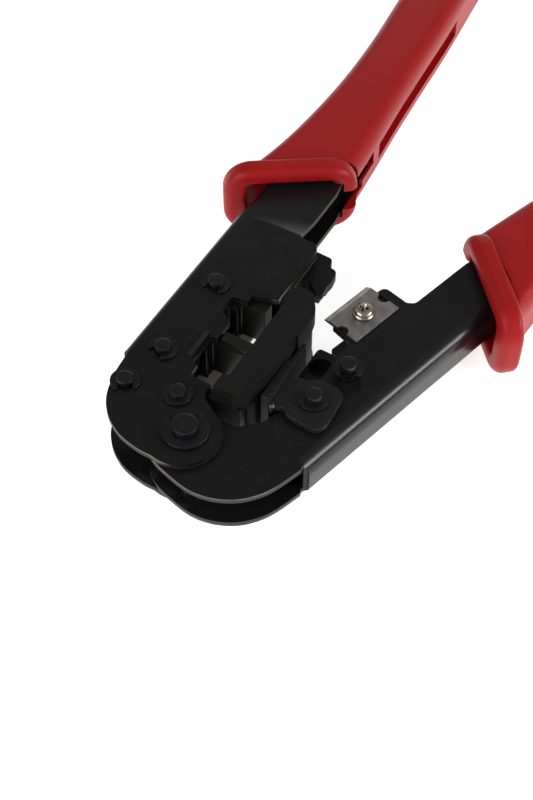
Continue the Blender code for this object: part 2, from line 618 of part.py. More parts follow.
def cutter_blade(parent):
    """Flat blade with one bevelled cutting edge, located by a notch in each end."""
    notch = 1.6
    middle = SCREW[0]
    outline = [(BLADE_X[0], BLADE_Y[0])]
    outline += arc((middle, BLADE_Y[0]), notch, 180, 0, 8)
    outline += [(BLADE_X[1], BLADE_Y[0]), (BLADE_X[1], BLADE_Y[1])]
    outline += arc((middle, BLADE_Y[1]), notch, 360, 180, 8)
    outline.append((BLADE_X[0], BLADE_Y[1]))
    blade = prism("cutter_blade", outline, BLADE_Z[0], BLADE_Z[1], parent, bright_steel("cutter_blade"))
    wedge = [(BLADE_X[0] - 1.0, BLADE_Z[0] - 0.3), (BLADE_X[0] + 1.6, BLADE_Z[1] + 0.05),
             (BLADE_X[0] - 1.0, BLADE_Z[1] + 1.0)]
    sections = [[(x, y, z) for x, z in wedge] for y in (BLADE_Y[0] - 1, BLADE_Y[1] + 1)]
    boolean(blade, add("bevel_cutter_blade", sections, parent, cutter=True))
    drill(blade, SCREW, 1.75)


def blade_screw(parent):
    """Pan head screw with a cross recess."""
    top = BLADE_Z[1] + 2.2
    low = BLADE_Z[1] + 0.2
    profile = [(1.1, 2.4), (1.45, 2.9), (1.45, low), (2.9, low), (2.95, low + 0.5), (2.75, low + 0.65),
               (2.6, top - 0.9), (2.1, top - 0.35), (1.2, top)]
    screw = turned("blade_screw", SCREW, profile, parent,
                   material("nickel_blade_screw", (0.55, 0.48, 0.38), 0.25, 1.0))
    for wide, tall in ((0.3, 1.3), (1.3, 0.3)):
        arm = box_outline(SCREW[0] - wide, SCREW[0] + wide, SCREW[1] - tall, SCREW[1] + tall)
        cut(screw, arm, top - 1.1, top + 1)


# ---------------------------------------------------------------- grips

def grip_section(outer, inner, half, radius, side):
    """A rounded rectangle standing on the line from outer to inner."""
    outer = Vector(outer)
    inner = Vector(inner)
    width = (outer - inner).length
    along = (outer - inner).normalized()
    radius = min(radius, width / 2 - 0.2, half - 0.2)
    loop = []
    for a, z in box_outline(0, width, -half, half, radius, 3):
        flat = inner + along * a
        loop.append((side * flat.x, flat.y, z))
    return loop


def tang_cavity(side):
    """Outline of the pocket for the frame's tang."""
    if side < 0:
        corners = [(7.1, 60), (7.1, 84.0), (9.4, 98.2), (12.2, TANG_END + 0.4), (20.8, TANG_END + 0.4),
                   (21.8, 92.0), (25.6, 79.4), (25.6, 60)]
    else:
        corners = [(10.0, 60), (10.0, 84.0), (11.4, 98.2), (12.6, TANG_END + 0.4), (21.2, TANG_END + 0.4),
                   (22.2, 92.0), (25.8, 79.4), (25.8, 60)]
    return [(side * x, y) for x, y in corners]


def grip(name, side, tang_half, parent):
    """Moulded grip: a body lofted along two curved edges, with a guard around its mouth."""
    outer = smooth(GRIP_OUTER, 3)
    inner = smooth(GRIP_INNER, 3)
    sections = [grip_section(o, i, GRIP_HALF, 4.0, side) for o, i in zip(outer, inner)]
    for shrink, reach in ((1.2, 3.6), (3.4, 5.4), (5.6, GRIP_END - outer[-1].y)):
        o = Vector((outer[-1].x - shrink * 0.9, outer[-1].y + reach))
        i = Vector((inner[-1].x + shrink, inner[-1].y + reach))
        sections.append(grip_section(o, i, GRIP_HALF - shrink * 0.8, 4.0, side))
    body = add(name, sections, parent, red_plastic(name))

    low = Vector(GUARD_OUTER)
    high = Vector(GUARD_INNER)
    along = (high - low).normalized()
    # From the guard's face towards the grip's end.
    forward = Vector((along.y, -along.x))
    rings = []
    for depth, inset in ((0.0, 2.0), (0.7, 0.7), (2.0, 0.0), (3.8, 0.0), (5.1, 0.7), (GUARD_THICK, 2.0)):
        shift = forward * (depth - GUARD_THICK / 2)
        rings.append(grip_section(low + shift + along * inset, high + shift - along * inset,
                                  GUARD_HALF - inset, 4.5, side))
    boolean(body, add("guard_" + name, rings, parent, cutter=True), "UNION")

    # Mouth: wider than the tang on the outer side, so that the fingers' guard is hollow there.
    mouth = []
    for depth in (-GUARD_THICK, GUARD_THICK / 2 - GUARD_WALL):
        start = low + forward * depth + along * MOUTH_INSET[0]
        stop = high + forward * depth - along * MOUTH_INSET[1]
        mouth.append(grip_section(start, stop, tang_half + 2 * GAP, 1.5, side))
    boolean(body, add("mouth_" + name, mouth, parent, cutter=True))
    room = tang_half + GAP
    boolean(body, prism("pocket_" + name, tang_cavity(side), -room, room, parent, cutter=True))

    # Slot along the inner side, open to the tang near the guard.
    slot = [(side * x, y) for x, y in ((0, 84), (0, 168), (14.4, 168), (14.0, 150), (9.6, 112), (9.0, 84))]
    boolean(body, prism("slot_" + name, slot, -SLOT_HALF, SLOT_HALF, parent, cutter=True))


# ---------------------------------------------------------------- assembly

def clear_scene():
    for item in list(bpy.data.objects):
        bpy.data.objects.remove(item, do_unlink=True)


def main():
    clear_scene()
    fixed = empty("fixed_handle", PIVOT)
    moving = empty("handle_pivot_axis", PIVOT, angle=-OPEN_ANGLE)
    ram = empty("ram_axis", PIVOT)
    link = empty("link_axis", PIVOT + Vector((*LINK_PIN, 0.0)))
    link["offset"] = (*LINK_PIN, 0.0)
    pawl = empty("pawl_axis", PIVOT + Vector((*PAWL_PIN, 0.0)))
    pawl["offset"] = (*PAWL_PIN, 0.0)

    fixed_frame(fixed)
    die_block(fixed)
    liner_plates(fixed)
    cable_guide(fixed)
    pivot(fixed)
    held_pin("front_die", FRONT_DIE_PIN, 250.0, FIXED_HALF, fixed)
    held_pin("rear_die", REAR_DIE_PIN, 270.0, FIXED_HALF, fixed)
    held_pin("pawl", PAWL_PIN, 304.0, FIXED_HALF, fixed)
    held_pin("spring", SPRING_PIN, 100.0, FIXED_HALF, fixed)
    springs(fixed)
    grip("fixed_grip", -1.0, TANG_HALF, fixed)

    moving_frame(moving)
    stop_stud(moving)
    ratchet_sector(moving)
    sector_rivet(moving)
    cutter_blade(moving)
    blade_screw(moving)
    grip("moving_grip", 1.0, MOVING_HALF, moving)

    ram_block(ram)
    contact_punch("contact_punch_8p", 15.2, 25.2, 8, ram)
    contact_punch("contact_punch_6p", 31.0, 38.0, 6, ram)
    strain_punch("strain_punch_8p", 15.2, 25.2, ram)
    strain_punch("strain_punch_6p", 31.0, 38.0, ram)

    thrust_bracket(link)
    link_plate(link)
    bracket_rivet(link)
    link_pin(link)

    ratchet_pawl(pawl)


main()
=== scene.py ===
"""Looks of the ratchet crimping tool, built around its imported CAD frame.

Shapes are drawn in millimetres from the main pivot at half the tool's thickness, with +Y along the
handle that they belong to, and are then moved to the frame's place.  MOVING pieces are drawn in the
moving handle's own frame, which stands OPEN degrees away at rest.
"""
import json
import math

import bmesh
import bpy
from mathutils import Matrix, Vector

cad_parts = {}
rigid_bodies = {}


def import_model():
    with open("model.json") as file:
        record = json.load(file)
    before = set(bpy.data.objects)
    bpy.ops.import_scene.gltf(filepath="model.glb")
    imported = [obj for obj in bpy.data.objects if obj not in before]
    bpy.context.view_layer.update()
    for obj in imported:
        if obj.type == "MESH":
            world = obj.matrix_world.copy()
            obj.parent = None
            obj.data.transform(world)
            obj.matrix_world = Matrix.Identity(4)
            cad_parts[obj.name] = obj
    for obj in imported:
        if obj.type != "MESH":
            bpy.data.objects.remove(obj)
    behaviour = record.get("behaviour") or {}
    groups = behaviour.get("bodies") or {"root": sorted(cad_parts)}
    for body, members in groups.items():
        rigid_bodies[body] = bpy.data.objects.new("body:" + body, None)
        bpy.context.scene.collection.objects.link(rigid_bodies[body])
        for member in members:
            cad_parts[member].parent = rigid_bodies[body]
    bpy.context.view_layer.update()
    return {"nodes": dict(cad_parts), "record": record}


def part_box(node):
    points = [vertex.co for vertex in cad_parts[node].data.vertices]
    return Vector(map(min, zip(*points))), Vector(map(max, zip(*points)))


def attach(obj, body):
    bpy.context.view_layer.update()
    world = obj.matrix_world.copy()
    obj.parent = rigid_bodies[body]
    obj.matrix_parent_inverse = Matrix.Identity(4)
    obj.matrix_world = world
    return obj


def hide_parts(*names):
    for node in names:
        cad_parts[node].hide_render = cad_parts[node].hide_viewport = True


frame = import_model()

MM = 0.001
OPEN = 14.8                       # angle between the handles at rest, degrees

pin_low, pin_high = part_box("pivot_pin")
grip_low, grip_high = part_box("fixed_grip")
PIVOT = Vector(((pin_low.x + pin_high.x) / 2, (pin_low.y + pin_high.y) / 2, (grip_low.z + grip_high.z) / 2))
TO_METRES = Matrix.Diagonal((MM, MM, MM, 1.0))
FIXED = Matrix.Translation(PIVOT) @ TO_METRES
MOVING = Matrix.Translation(PIVOT) @ Matrix.Rotation(math.radians(-OPEN), 4, "Z") @ TO_METRES

# Sheet steel frames.
SHEET = 1.5
FIXED_HALF = 7.0                  # half height over the fixed frame's plates
TANG_HALF = 5.7
MOVING_HALF = 5.3
FIXED_FOLDS = (2.0, 2.2)          # outside radii of the lower and the upper fold
MOVING_FOLDS = (2.0, 4.0)
FIXED_OUTER = -25.2
FIXED_INNER = -1.5
MOVING_OUTER = 25.4
WEB_START = 12.9
TANG_END = 150.0
FIXED_EDGE = [(-23.7, 12.9), (-22.8, 5.6), (-20.8, -0.6), (-17.4, -5.0), (-12.4, -8.1), (-6.8, -9.4),
              (-3.1, -9.5)]
MOVING_EDGE = [(-6.5, -4.4), (-4.6, -7.6), (-0.5, -9.6), (5.0, -10.0), (11.0, -9.6), (16.0, -7.6),
               (20.2, -4.0), (22.8, 0.4), (24.0, 5.0), (24.7, 12.9)]

LIP_Y = (18.2, 26.4)              # bent-up lip beside the front slot
STEP_Y = (65.2, 72.2)             # the fixed frame's plates step in from here to here
SLOT_FLOOR = SHEET - FIXED_HALF + 0.05
SHEET_EDGE = 0.16                 # bevel of the sheet's sharp edges
CAD_EDGE = 0.06                   # bevel of the CAD nodes that stay on show

# Material indices within a piece.
RIM = 1
CUT_EDGE = 2
# painted light: the plate top under the plug slots is coloured light grey to stand in for the table seen
# through the slots
PAINTED_LIGHT_FLOOR = 3
DULL_END = 2
BLADE_SLOPE = 2

GAP = 0.3                         # between neighbouring pieces
LINER = 1.2                       # thickness of the liner plates

# Pins.
PIVOT_R = 3.0
PIN_R = 2.0
RUNNING = 0.15
FRONT_DIE_PIN = (-17.0, 17.2)
REAR_DIE_PIN = (-17.0, 40.8)
PAWL_PIN = (-19.3, 4.8)
SPRING_PIN = (-6.9, 7.7)
LINK_PIN = (20.5, 21.6)
STOP_STUD = (13.9, 37.9)          # in the moving handle's frame, as are the next two
RIVET = (5.6, -5.0)
SCREW = (3.9, 54.0)

# Die and ram.
SLOT_8P = (14.2, 26.2)
SLOT_6P = (29.5, 39.4)
DIE_WALL = -9.2
DIE_POCKET = -11.4
COMB_Y = (15.0, 24.1, 25.2, 30.2, 38.1)    # grooves in the die's wall
COMB_WIDTH = 0.6
DIE_CHEEK = 7.0
REAR_CHEEK = -2.9
TONGUE_END = 2.0
RAM_FACE = 2.3
RAM_BACK = 9.6
CAP_BOTTOM = 7.3
CAP_TOP = 12.0
FLANGE_BOTTOM = -10.5
WEB_LEFT = 10.0
WEB_RIGHT = 12.0
BRACKET_HALF = 7.3

# Cutter.
BLADE_X = (-1.8, 8.6)
BLADE_Y = (46.5, 61.4)
BLADE_Z = (4.9, 5.9)

# Grips.
GRIP_OUTER = [(31.6, 78.6), (29.2, 92.0), (27.8, 108.0), (27.4, 124.0), (28.2, 142.0), (30.0, 160.0),
              (32.6, 184.0), (33.2, 190.0)]
GRIP_INNER = [(6.6, 93.2), (7.2, 101.0), (8.2, 112.0), (9.4, 124.0), (10.8, 142.0), (12.1, 160.0),
              (14.5, 184.0), (15.1, 190.0)]
GRIP_HALF = 8.6
GRIP_END = 197.0
GUARD_OUTER = Vector((34.8, 72.8))
GUARD_INNER = Vector((5.8, 92.2))
GUARD_THICK = 5.8
GUARD_HALF = 10.8
GUARD_ROUND = 7.6
GUARD_FRONT_RIM = 2.4             # edge rounding radii of the guard
GUARD_BACK_RIM = 1.5
MOUTH_INSET = (6.0, 6.2)          # from the guard's ends to the mouth around the frame
MOUTH_LIP = 1.4
BODY_FILLET = 0.7
BODY_ROUND = 4.4
BODY_CROWN = 0.25
END_ROUND = 6.4
GATE_TOP = 3.2
SLOT_HALF = 2.6                   # half width of the slot along the grip's inner side
TANG_ROOM = {-1.0: [(7.1, 84.0), (9.4, 98.2), (12.2, 150.4), (20.8, 150.4), (21.8, 92.0), (25.6, 79.4)],
             1.0: [(10.0, 84.0), (11.4, 98.2), (12.6, 150.4), (21.2, 150.4), (22.2, 92.0), (25.8, 79.4)]}


# ---------------------------------------------------------------- outlines

def arc(centre, radius, start, stop, steps):
    """Points on an arc, both ends included; angles in degrees."""
    points = []
    for i in range(steps + 1):
        angle = math.radians(start + (stop - start) * i / steps)
        points.append((centre[0] + radius * math.cos(angle), centre[1] + radius * math.sin(angle)))
    return points


def circle(centre, radius, steps=48):
    return arc(centre, radius, 0, 360, steps)[:-1]


def rounded(corners):
    """A closed outline through corners (x, y, fillet radius)."""
    points = []
    for i, (x, y, radius) in enumerate(corners):
        here = Vector((x, y))
        if radius <= 0:
            points.append((x, y))
            continue
        before = (Vector(corners[i - 1][:2]) - here).normalized()
        after = (Vector(corners[(i + 1) % len(corners)][:2]) - here).normalized()
        half = before.angle(after) / 2
        reach = radius / math.tan(half)
        centre = here + (before + after).normalized() * (radius / math.sin(half))
        first = here + before * reach - centre
        sweep = first.angle_signed(here + after * reach - centre)
        steps = max(2, min(14, round(abs(sweep) * (3 + 2 * radius))))
        for k in range(steps + 1):
            spoke = first.copy()
            spoke.rotate(Matrix.Rotation(-sweep * k / steps, 2))
            points.append(tuple(centre + spoke))
    return points


def box_outline(x0, x1, y0, y1, radius=0.0):
    return rounded([(x0, y0, radius), (x1, y0, radius), (x1, y1, radius), (x0, y1, radius)])


def smooth(points, steps):
    """Catmull-Rom curve through points, ends included."""
    ends = [2 * Vector(points[0]) - Vector(points[1])]
    ends += [Vector(p) for p in points]
    ends += [2 * Vector(points[-1]) - Vector(points[-2])]
    curve = []
    for i in range(1, len(ends) - 2):
        a, b, c, d = ends[i - 1:i + 3]
        for k in range(steps):
            t = k / steps
            curve.append(0.5 * (2 * b + (c - a) * t + (2 * a - 5 * b + 4 * c - d) * t ** 2
                                + (3 * b - a - 3 * c + d) * t ** 3))
    curve.append(ends[-2])
    return curve


# ---------------------------------------------------------------- meshes

def new_object(name, bm):
    bmesh.ops.recalc_face_normals(bm, faces=bm.faces)
    mesh = bpy.data.meshes.new(name)
    bm.to_mesh(mesh)
    bm.free()
    made = bpy.data.objects.new(name, mesh)
    bpy.context.scene.collection.objects.link(made)
    return made


def loft(name, sections):
    """A closed solid through sections, each a loop of the same number of (x, y, z)."""
    bm = bmesh.new()
    loops = [[bm.verts.new(p) for p in section] for section in sections]
    count = len(loops[0])
    for low, high in zip(loops, loops[1:]):
        for i in range(count):
            j = (i + 1) % count
            bm.faces.new((low[i], low[j], high[j], high[i]))
    bm.faces.new(list(reversed(loops[0])))
    bm.faces.new(loops[-1])
    return new_object(name, bm)


def prism(name, outline, z0, z1):
    return loft(name, [[(x, y, z) for x, y in outline] for z in (z0, z1)])


def turned(name, centre, profile, steps=48):
    """A solid of revolution from (radius, z), low to high."""
    return loft(name, [[(x, y, z) for x, y in circle(centre, radius, steps)] for radius, z in profile])


def boolean(target, tool, operation="DIFFERENCE"):
    step = target.modifiers.new(operation.lower(), "BOOLEAN")
    step.operation = operation
    step.solver = "EXACT"
    step.object = tool
    tool["scrap"] = True


def cut(target, outline, z0, z1):
    boolean(target, prism("cutter", outline, z0, z1))


def join(target, outline, z0, z1):
    boolean(target, prism("addition", outline, z0, z1), "UNION")


def drill(target, centre, radius, z0=-20.0, z1=20.0):
    cut(target, circle(centre, radius, 40), z0, z1)


def bevel(target, width, segments=2, angle=40.0, rim=None):
    """Round the edges sharper than angle; rim is the material index of the new strips."""
    step = target.modifiers.new("bevel", "BEVEL")
    step.width = width
    step.segments = segments
    step.limit_method = "ANGLE"
    step.angle_limit = math.radians(angle)
    step.use_clamp_overlap = True
    if rim is not None:
        step.material = rim


def finish_piece(target, nodes, body, place, materials, pick=None, smooth_angle=50.0):
    """Apply target's modifiers, move it to its place, and let it stand for CAD nodes.

    pick gives the material's index for a face with that centre and normal, or None to leave it.
    """
    for item in materials:
        target.data.materials.append(item)
    depsgraph = bpy.context.evaluated_depsgraph_get()
    mesh = bpy.data.meshes.new_from_object(target.evaluated_get(depsgraph))
    for step in list(target.modifiers):
        target.modifiers.remove(step)
    for item in [o for o in bpy.data.objects if o.get("scrap")]:
        bpy.data.objects.remove(item, do_unlink=True)
    old = target.data
    target.data = mesh
    bpy.data.meshes.remove(old)
    while len(mesh.materials) > len(materials):
        mesh.materials.pop()
    if pick:
        for face in mesh.polygons:
            index = pick(face.center, face.normal)
            if index is not None:
                face.material_index = index
    mesh.transform(place)
    mesh.shade_smooth()
    mesh.set_sharp_from_angle(angle=math.radians(smooth_angle))
    weighted = target.modifiers.new("weighted", "WEIGHTED_NORMAL")
    weighted.keep_sharp = True
    weighted.weight = 60
    target.name = "look_" + nodes[0]
    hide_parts(*nodes)
    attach(target, body)


# ---------------------------------------------------------------- materials

def nodes_of(name):
    made = bpy.data.materials.new(name)
    made.use_nodes = True
    tree = made.node_tree
    return made, tree, tree.nodes["Principled BSDF"], tree.nodes.new("ShaderNodeTexCoord")


def noise(tree, coords, scale, detail=3.0, roughness=0.5, stretch=None):
    """Noise whose cells are about 1/scale millimetres wide."""
    node = tree.nodes.new("ShaderNodeTexNoise")
    node.inputs["Scale"].default_value = 1.0
    node.inputs["Detail"].default_value = detail
    node.inputs["Roughness"].default_value = roughness
    mapping = tree.nodes.new("ShaderNodeMapping")
    factor = Vector(stretch or (1.0, 1.0, 1.0)) * scale / MM
    mapping.inputs["Scale"].default_value = factor
    tree.links.new(coords.outputs["Object"], mapping.inputs["Vector"])
    tree.links.new(mapping.outputs["Vector"], node.inputs["Vector"])
    return node.outputs["Fac"]


def ramp(tree, source, low, high, out_low=0.0, out_high=1.0):
    """Linear map with clamping."""
    node = tree.nodes.new("ShaderNodeMapRange")
    node.inputs["From Min"].default_value = low
    node.inputs["From Max"].default_value = high
    node.inputs["To Min"].default_value = out_low
    node.inputs["To Max"].default_value = out_high
    tree.links.new(source, node.inputs["Value"])
    return node.outputs["Result"]


def mix(tree, factor, first, second):
    node = tree.nodes.new("ShaderNodeMix")
    node.data_type = "RGBA"
    tree.links.new(factor, node.inputs["Factor"])
    for socket, value in ((node.inputs["A"], first), (node.inputs["B"], second)):
        if isinstance(value, tuple):
            socket.default_value = (*value, 1.0)
        else:
            tree.links.new(value, socket)
    return node.outputs["Result"]


def math_node(tree, operation, first, second):
    node = tree.nodes.new("ShaderNodeMath")
    node.operation = operation
    for socket, value in zip(node.inputs, (first, second)):
        if isinstance(value, (int, float)):
            socket.default_value = value
        else:
            tree.links.new(value, socket)
    return node.outputs["Value"]


def bump(tree, shader, heights):
    """Chain of bumps from (height output, strength, distance in millimetres)."""
    normal = None
    for height, strength, distance in heights:
        node = tree.nodes.new("ShaderNodeBump")
        node.inputs["Strength"].default_value = strength
        node.inputs["Distance"].default_value = distance * MM
        tree.links.new(height, node.inputs["Height"])
        if normal:
            tree.links.new(normal, node.inputs["Normal"])
        normal = node.outputs["Normal"]
    tree.links.new(normal, shader.inputs["Normal"])


def black_steel(name, tone, rough, specular, worn=0.0, bare=None):
    """Black oxide: satin, faintly mottled, with specks of dust; worn is the share rubbed through to bare."""
    made, tree, shader, coords = nodes_of(name)
    cloud = noise(tree, coords, 0.18, 4.0)
    grain = noise(tree, coords, 5.0, 2.0)
    speck = ramp(tree, noise(tree, coords, 1.3, 1.0), 0.735, 0.77)
    colour = mix(tree, cloud, tuple(c * 0.85 for c in tone), tuple(c * 1.25 for c in tone))
    colour = mix(tree, math_node(tree, "MULTIPLY", speck, 0.30), colour, (0.07, 0.065, 0.06))
    roughness = ramp(tree, cloud, 0.3, 0.7, rough - 0.02, rough + 0.03)
    shader.inputs["Specular IOR Level"].default_value = specular
    if worn > 0.0:
        rub = ramp(tree, noise(tree, coords, 0.55, 5.0, 0.65), 0.62 - 0.3 * worn, 0.70 - 0.3 * worn)
        colour = mix(tree, rub, colour, bare)
        tree.links.new(rub, shader.inputs["Metallic"])
        roughness = math_node(tree, "SUBTRACT", roughness, math_node(tree, "MULTIPLY", rub, 0.12))
    tree.links.new(colour, shader.inputs["Base Color"])
    tree.links.new(roughness, shader.inputs["Roughness"])
    bump(tree, shader, [(grain, 0.12, 0.006)])
    return made


def bare_steel(name, tone, rough, along="Y", depth=0.006):
    """Metal with fine grinding marks along one axis."""
    made, tree, shader, coords = nodes_of(name)
    stretch = {"X": (0.06, 1.0, 1.0), "Y": (1.0, 0.06, 1.0), "Z": (1.0, 1.0, 0.06)}[along]
    marks = noise(tree, coords, 7.0, 3.0, 0.6, stretch)
    cloud = noise(tree, coords, 0.4, 4.0)
    dark = tuple(c * 0.62 for c in tone)
    tree.links.new(mix(tree, ramp(tree, cloud, 0.3, 0.7), dark, tone), shader.inputs["Base Color"])
    tree.links.new(ramp(tree, marks, 0.3, 0.7, rough - 0.08, rough + 0.12), shader.inputs["Roughness"])
    shader.inputs["Metallic"].default_value = 1.0
    bump(tree, shader, [(marks, 0.3, depth)])
    return made


def plastic(name, tone, rough, specular=0.5, scuff_tone=None):
    """Moulded plastic: colour and gloss vary a little, with a fine skin and shallow flow waves."""
    made, tree, shader, coords = nodes_of(name)
    cloud = noise(tree, coords, 0.07, 3.0)
    skin = noise(tree, coords, 3.2, 2.0)
    scuff = ramp(tree, noise(tree, coords, 0.9, 6.0, 0.7, (1.0, 0.25, 1.0)), 0.60, 0.78)
    colour = mix(tree, cloud, tuple(c * 0.9 for c in tone), tuple(c * 1.08 for c in tone))
    if scuff_tone:
        colour = mix(tree, math_node(tree, "MULTIPLY", scuff, 0.10), colour, scuff_tone)
    tree.links.new(colour, shader.inputs["Base Color"])
    roughness = math_node(tree, "ADD", ramp(tree, cloud, 0.3, 0.7, rough - 0.03, rough + 0.05),
                          math_node(tree, "MULTIPLY", scuff, 0.06))
    tree.links.new(roughness, shader.inputs["Roughness"])
    shader.inputs["Specular IOR Level"].default_value = specular
    bump(tree, shader, [(skin, 0.2, 0.004), (cloud, 0.3, 0.10)])
    return made


def sheared_edge(name, half):
    """The cut edge of a frame's plates: burnished next to the outer face, torn and duller below."""
    made, tree, shader, coords = nodes_of(name)
    split = tree.nodes.new("ShaderNodeSeparateXYZ")
    tree.links.new(coords.outputs["Object"], split.inputs["Vector"])
    height = math_node(tree, "ABSOLUTE", math_node(tree, "SUBTRACT", split.outputs["Z"], PIVOT.z), 0.0)
    ragged = noise(tree, coords, 0.8, 3.0, 0.5, (1.0, 1.0, 0.1))
    torn = ramp(tree, math_node(tree, "SUBTRACT", height, math_node(tree, "MULTIPLY", ragged, 0.6 * MM)),
                (half - 0.95) * MM, (half - 0.75) * MM, 1.0, 0.0)
    patches = ramp(tree, noise(tree, coords, 0.12, 3.0), 0.42, 0.60)
    marks = noise(tree, coords, 5.0, 3.0, 0.6, (1.0, 1.0, 0.08))
    burnished = mix(tree, patches, (0.034, 0.032, 0.030), (0.120, 0.113, 0.104))
    tree.links.new(mix(tree, torn, burnished, (0.06, 0.056, 0.052)), shader.inputs["Base Color"])
    tree.links.new(ramp(tree, torn, 0.0, 1.0, 0.34, 0.62), shader.inputs["Roughness"])
    shader.inputs["Metallic"].default_value = 1.0
    bump(tree, shader, [(marks, 0.35, 0.012), (torn, 0.6, 0.05)])
    return made


BLACK = black_steel("black_oxide", (0.0070, 0.0070, 0.0079), 0.25, 0.35)
BLACK_RIM = black_steel("black_oxide_rim", (0.016, 0.015, 0.014), 0.30, 0.6, 0.15, (0.30, 0.28, 0.26))
FIXED_CUT_EDGE = sheared_edge("fixed_cut_edge", FIXED_HALF)
MOVING_CUT_EDGE = sheared_edge("moving_cut_edge", MOVING_HALF)
HARDWARE = black_steel("black_hardware", (0.0045, 0.0045, 0.0056), 0.30, 0.50)
HARDWARE_RIM = black_steel("black_hardware_rim", (0.012, 0.012, 0.013), 0.26, 0.6)
DIE_BLACK = black_steel("die_black", (0.0085, 0.0080, 0.0074), 0.36, 0.34)
CAP_BLACK = black_steel("ram_black", (0.0085, 0.0085, 0.0082), 0.48, 0.15)
BRACKET_BLACK = black_steel("bracket_grey", (0.0125, 0.0122, 0.0120), 0.38, 0.22)
BRACKET_RIM = black_steel("bracket_rim", (0.02, 0.019, 0.017), 0.28, 0.5, 0.35, (0.16, 0.15, 0.135))
STEEL = bare_steel("bare_steel", (0.40, 0.37, 0.34), 0.32)
# Painted light: a light grey stand-in for the table seen through the plug slots' open bottoms, put on the
# plate top under them.
SLOT_FLOOR_PAINTED_LIGHT = plastic("slot_floor_painted_light", (0.80, 0.77, 0.73), 0.45)
TEMPERED = bare_steel("tempered_steel", (0.15, 0.118, 0.10), 0.38)
BLADE_STEEL = bare_steel("blade_steel", (0.42, 0.39, 0.375), 0.46, "Y", 0.008)
BLADE_BEVEL = bare_steel("blade_bevel", (0.80, 0.77, 0.74), 0.36, "X", 0.004)
NICKEL = bare_steel("nickel_plate", (0.54, 0.48, 0.39), 0.20, "X", 0.001)
GUIDE_PLASTIC = plastic("black_plastic", (0.0065, 0.0065, 0.0065), 0.48, 0.15)
RED = plastic("red_grip_plastic", (0.355, 0.0072, 0.0082), 0.40, 0.22, (0.42, 0.05, 0.05))

SLOT_LOOKS = {
    "black_sheet_steel": BLACK,
    "black_hardware": HARDWARE,
    "bare_steel": STEEL,
    "blade_steel": BLADE_STEEL,
    "nickel_plate": NICKEL,
    "black_plastic": GUIDE_PLASTIC,
    "red_grip_plastic": RED,
}


def dress_cad_nodes():
    """The CAD nodes that stay on show get their slot's finish and softened edges."""
    for row in frame["record"]["subparts"]:
        node = frame["nodes"][row["node"]]
        node.data.materials.clear()
        node.data.materials.append(SLOT_LOOKS[row["material_slot"]])
        if not node.hide_render:
            bevel(node, CAD_EDGE * MM, 1, 35.0)


# ---------------------------------------------------------------- frames

def channel(stations, outer_x, far_x, half_heights, folds):
    """Sections across Y of a channel's inside or outside: round next to outer_x, open at far_x."""
    side = 1.0 if far_x > outer_x else -1.0
    low, top = folds
    sections = []
    for y, half in zip(stations, half_heights):
        loop = [(far_x, y, -half)]
        for start, middle, radius in ((270, low - half, low), (180, half - top, top)):
            for x, z in arc((radius, middle), radius, start, start - 90, 9):
                loop.append((outer_x + side * x, y, z))
        loop.append((far_x, y, half))
        sections.append(loop)
    return sections


def shape_channel(target, outer_x, stations, halves, folds):
    """Turn a solid of a frame's outline into two plates and a folded web along outer_x."""
    side = 1.0 if outer_x < 0 else -1.0
    far = side * 80.0
    inner = [half - SHEET for half in halves]
    inner_folds = [fold - SHEET + 0.4 for fold in folds]
    hollow = loft("hollow", channel(stations, outer_x + side * SHEET, far, inner, inner_folds))
    around = prism("around", box_outline(-90, 90, WEB_START, 230), -30, 30)
    boolean(around, loft("section", channel(stations, outer_x, far, halves, folds)))
    boolean(target, around)
    boolean(target, hollow)
    low = outer_x - side * 6.0
    high = outer_x + side * 4.0
    cut(target, box_outline(min(low, high), max(low, high), -40, WEB_START), -inner[0], inner[0])


def cut_edge_and_painted_light_faces(outer_x):
    """Picks the faces without the black finish: the bare cut edges across the sheet's thickness, and the
    plate top under the plug slots, which gets painted light standing in for the table seen through them.
    """
    def pick(centre, normal):
        on_web = centre.y > WEB_START + 0.2 and abs(centre.x) > abs(outer_x) - SHEET - 1.0
        if abs(normal.z) < 0.3 and not (on_web and abs(normal.x) > 0.8):
            return CUT_EDGE
        if normal.z > 0.9 and abs(centre.z - SLOT_FLOOR) < 0.01:
            return PAINTED_LIGHT_FLOOR
        return None
    return pick


def fixed_outline():
    lobe = arc((-0.6, -0.7), 9.1, -106, 48, 32)
    corners = [(-1.9, 10.3, 3.0), (-1.9, 13.9, 0), (-7.6, 13.9, 0.8), (-7.6, 17.3, 0.3),
               (-9.3, 17.9, 0.3), (-9.3, 26.2, 0.3), (-7.7, 26.2, 0.3), (-7.9, 32.4, 0.8),
               (-11.6, 34.2, 1.2), (-11.6, 39.3, 1.2), (-7.6, 39.5, 0.3), (-7.5, 41.9, 0.5),
               (FIXED_INNER, 43.7, 0.4), (FIXED_INNER, 62.9, 0.6), (-3.0, 64.5, 0.4),
               (-7.4, 64.7, 1.0), (-7.4, 84.0, 0), (-9.8, 98.0, 3), (-12.6, TANG_END, 3),
               (-20.4, TANG_END, 3), (-21.4, 92.0, 3), (FIXED_OUTER, 79.5, 3), (FIXED_OUTER, 12.9, 0)]
    return lobe[1:-1] + rounded([(*lobe[-1], 0), *corners]) + smooth(FIXED_EDGE, 7)


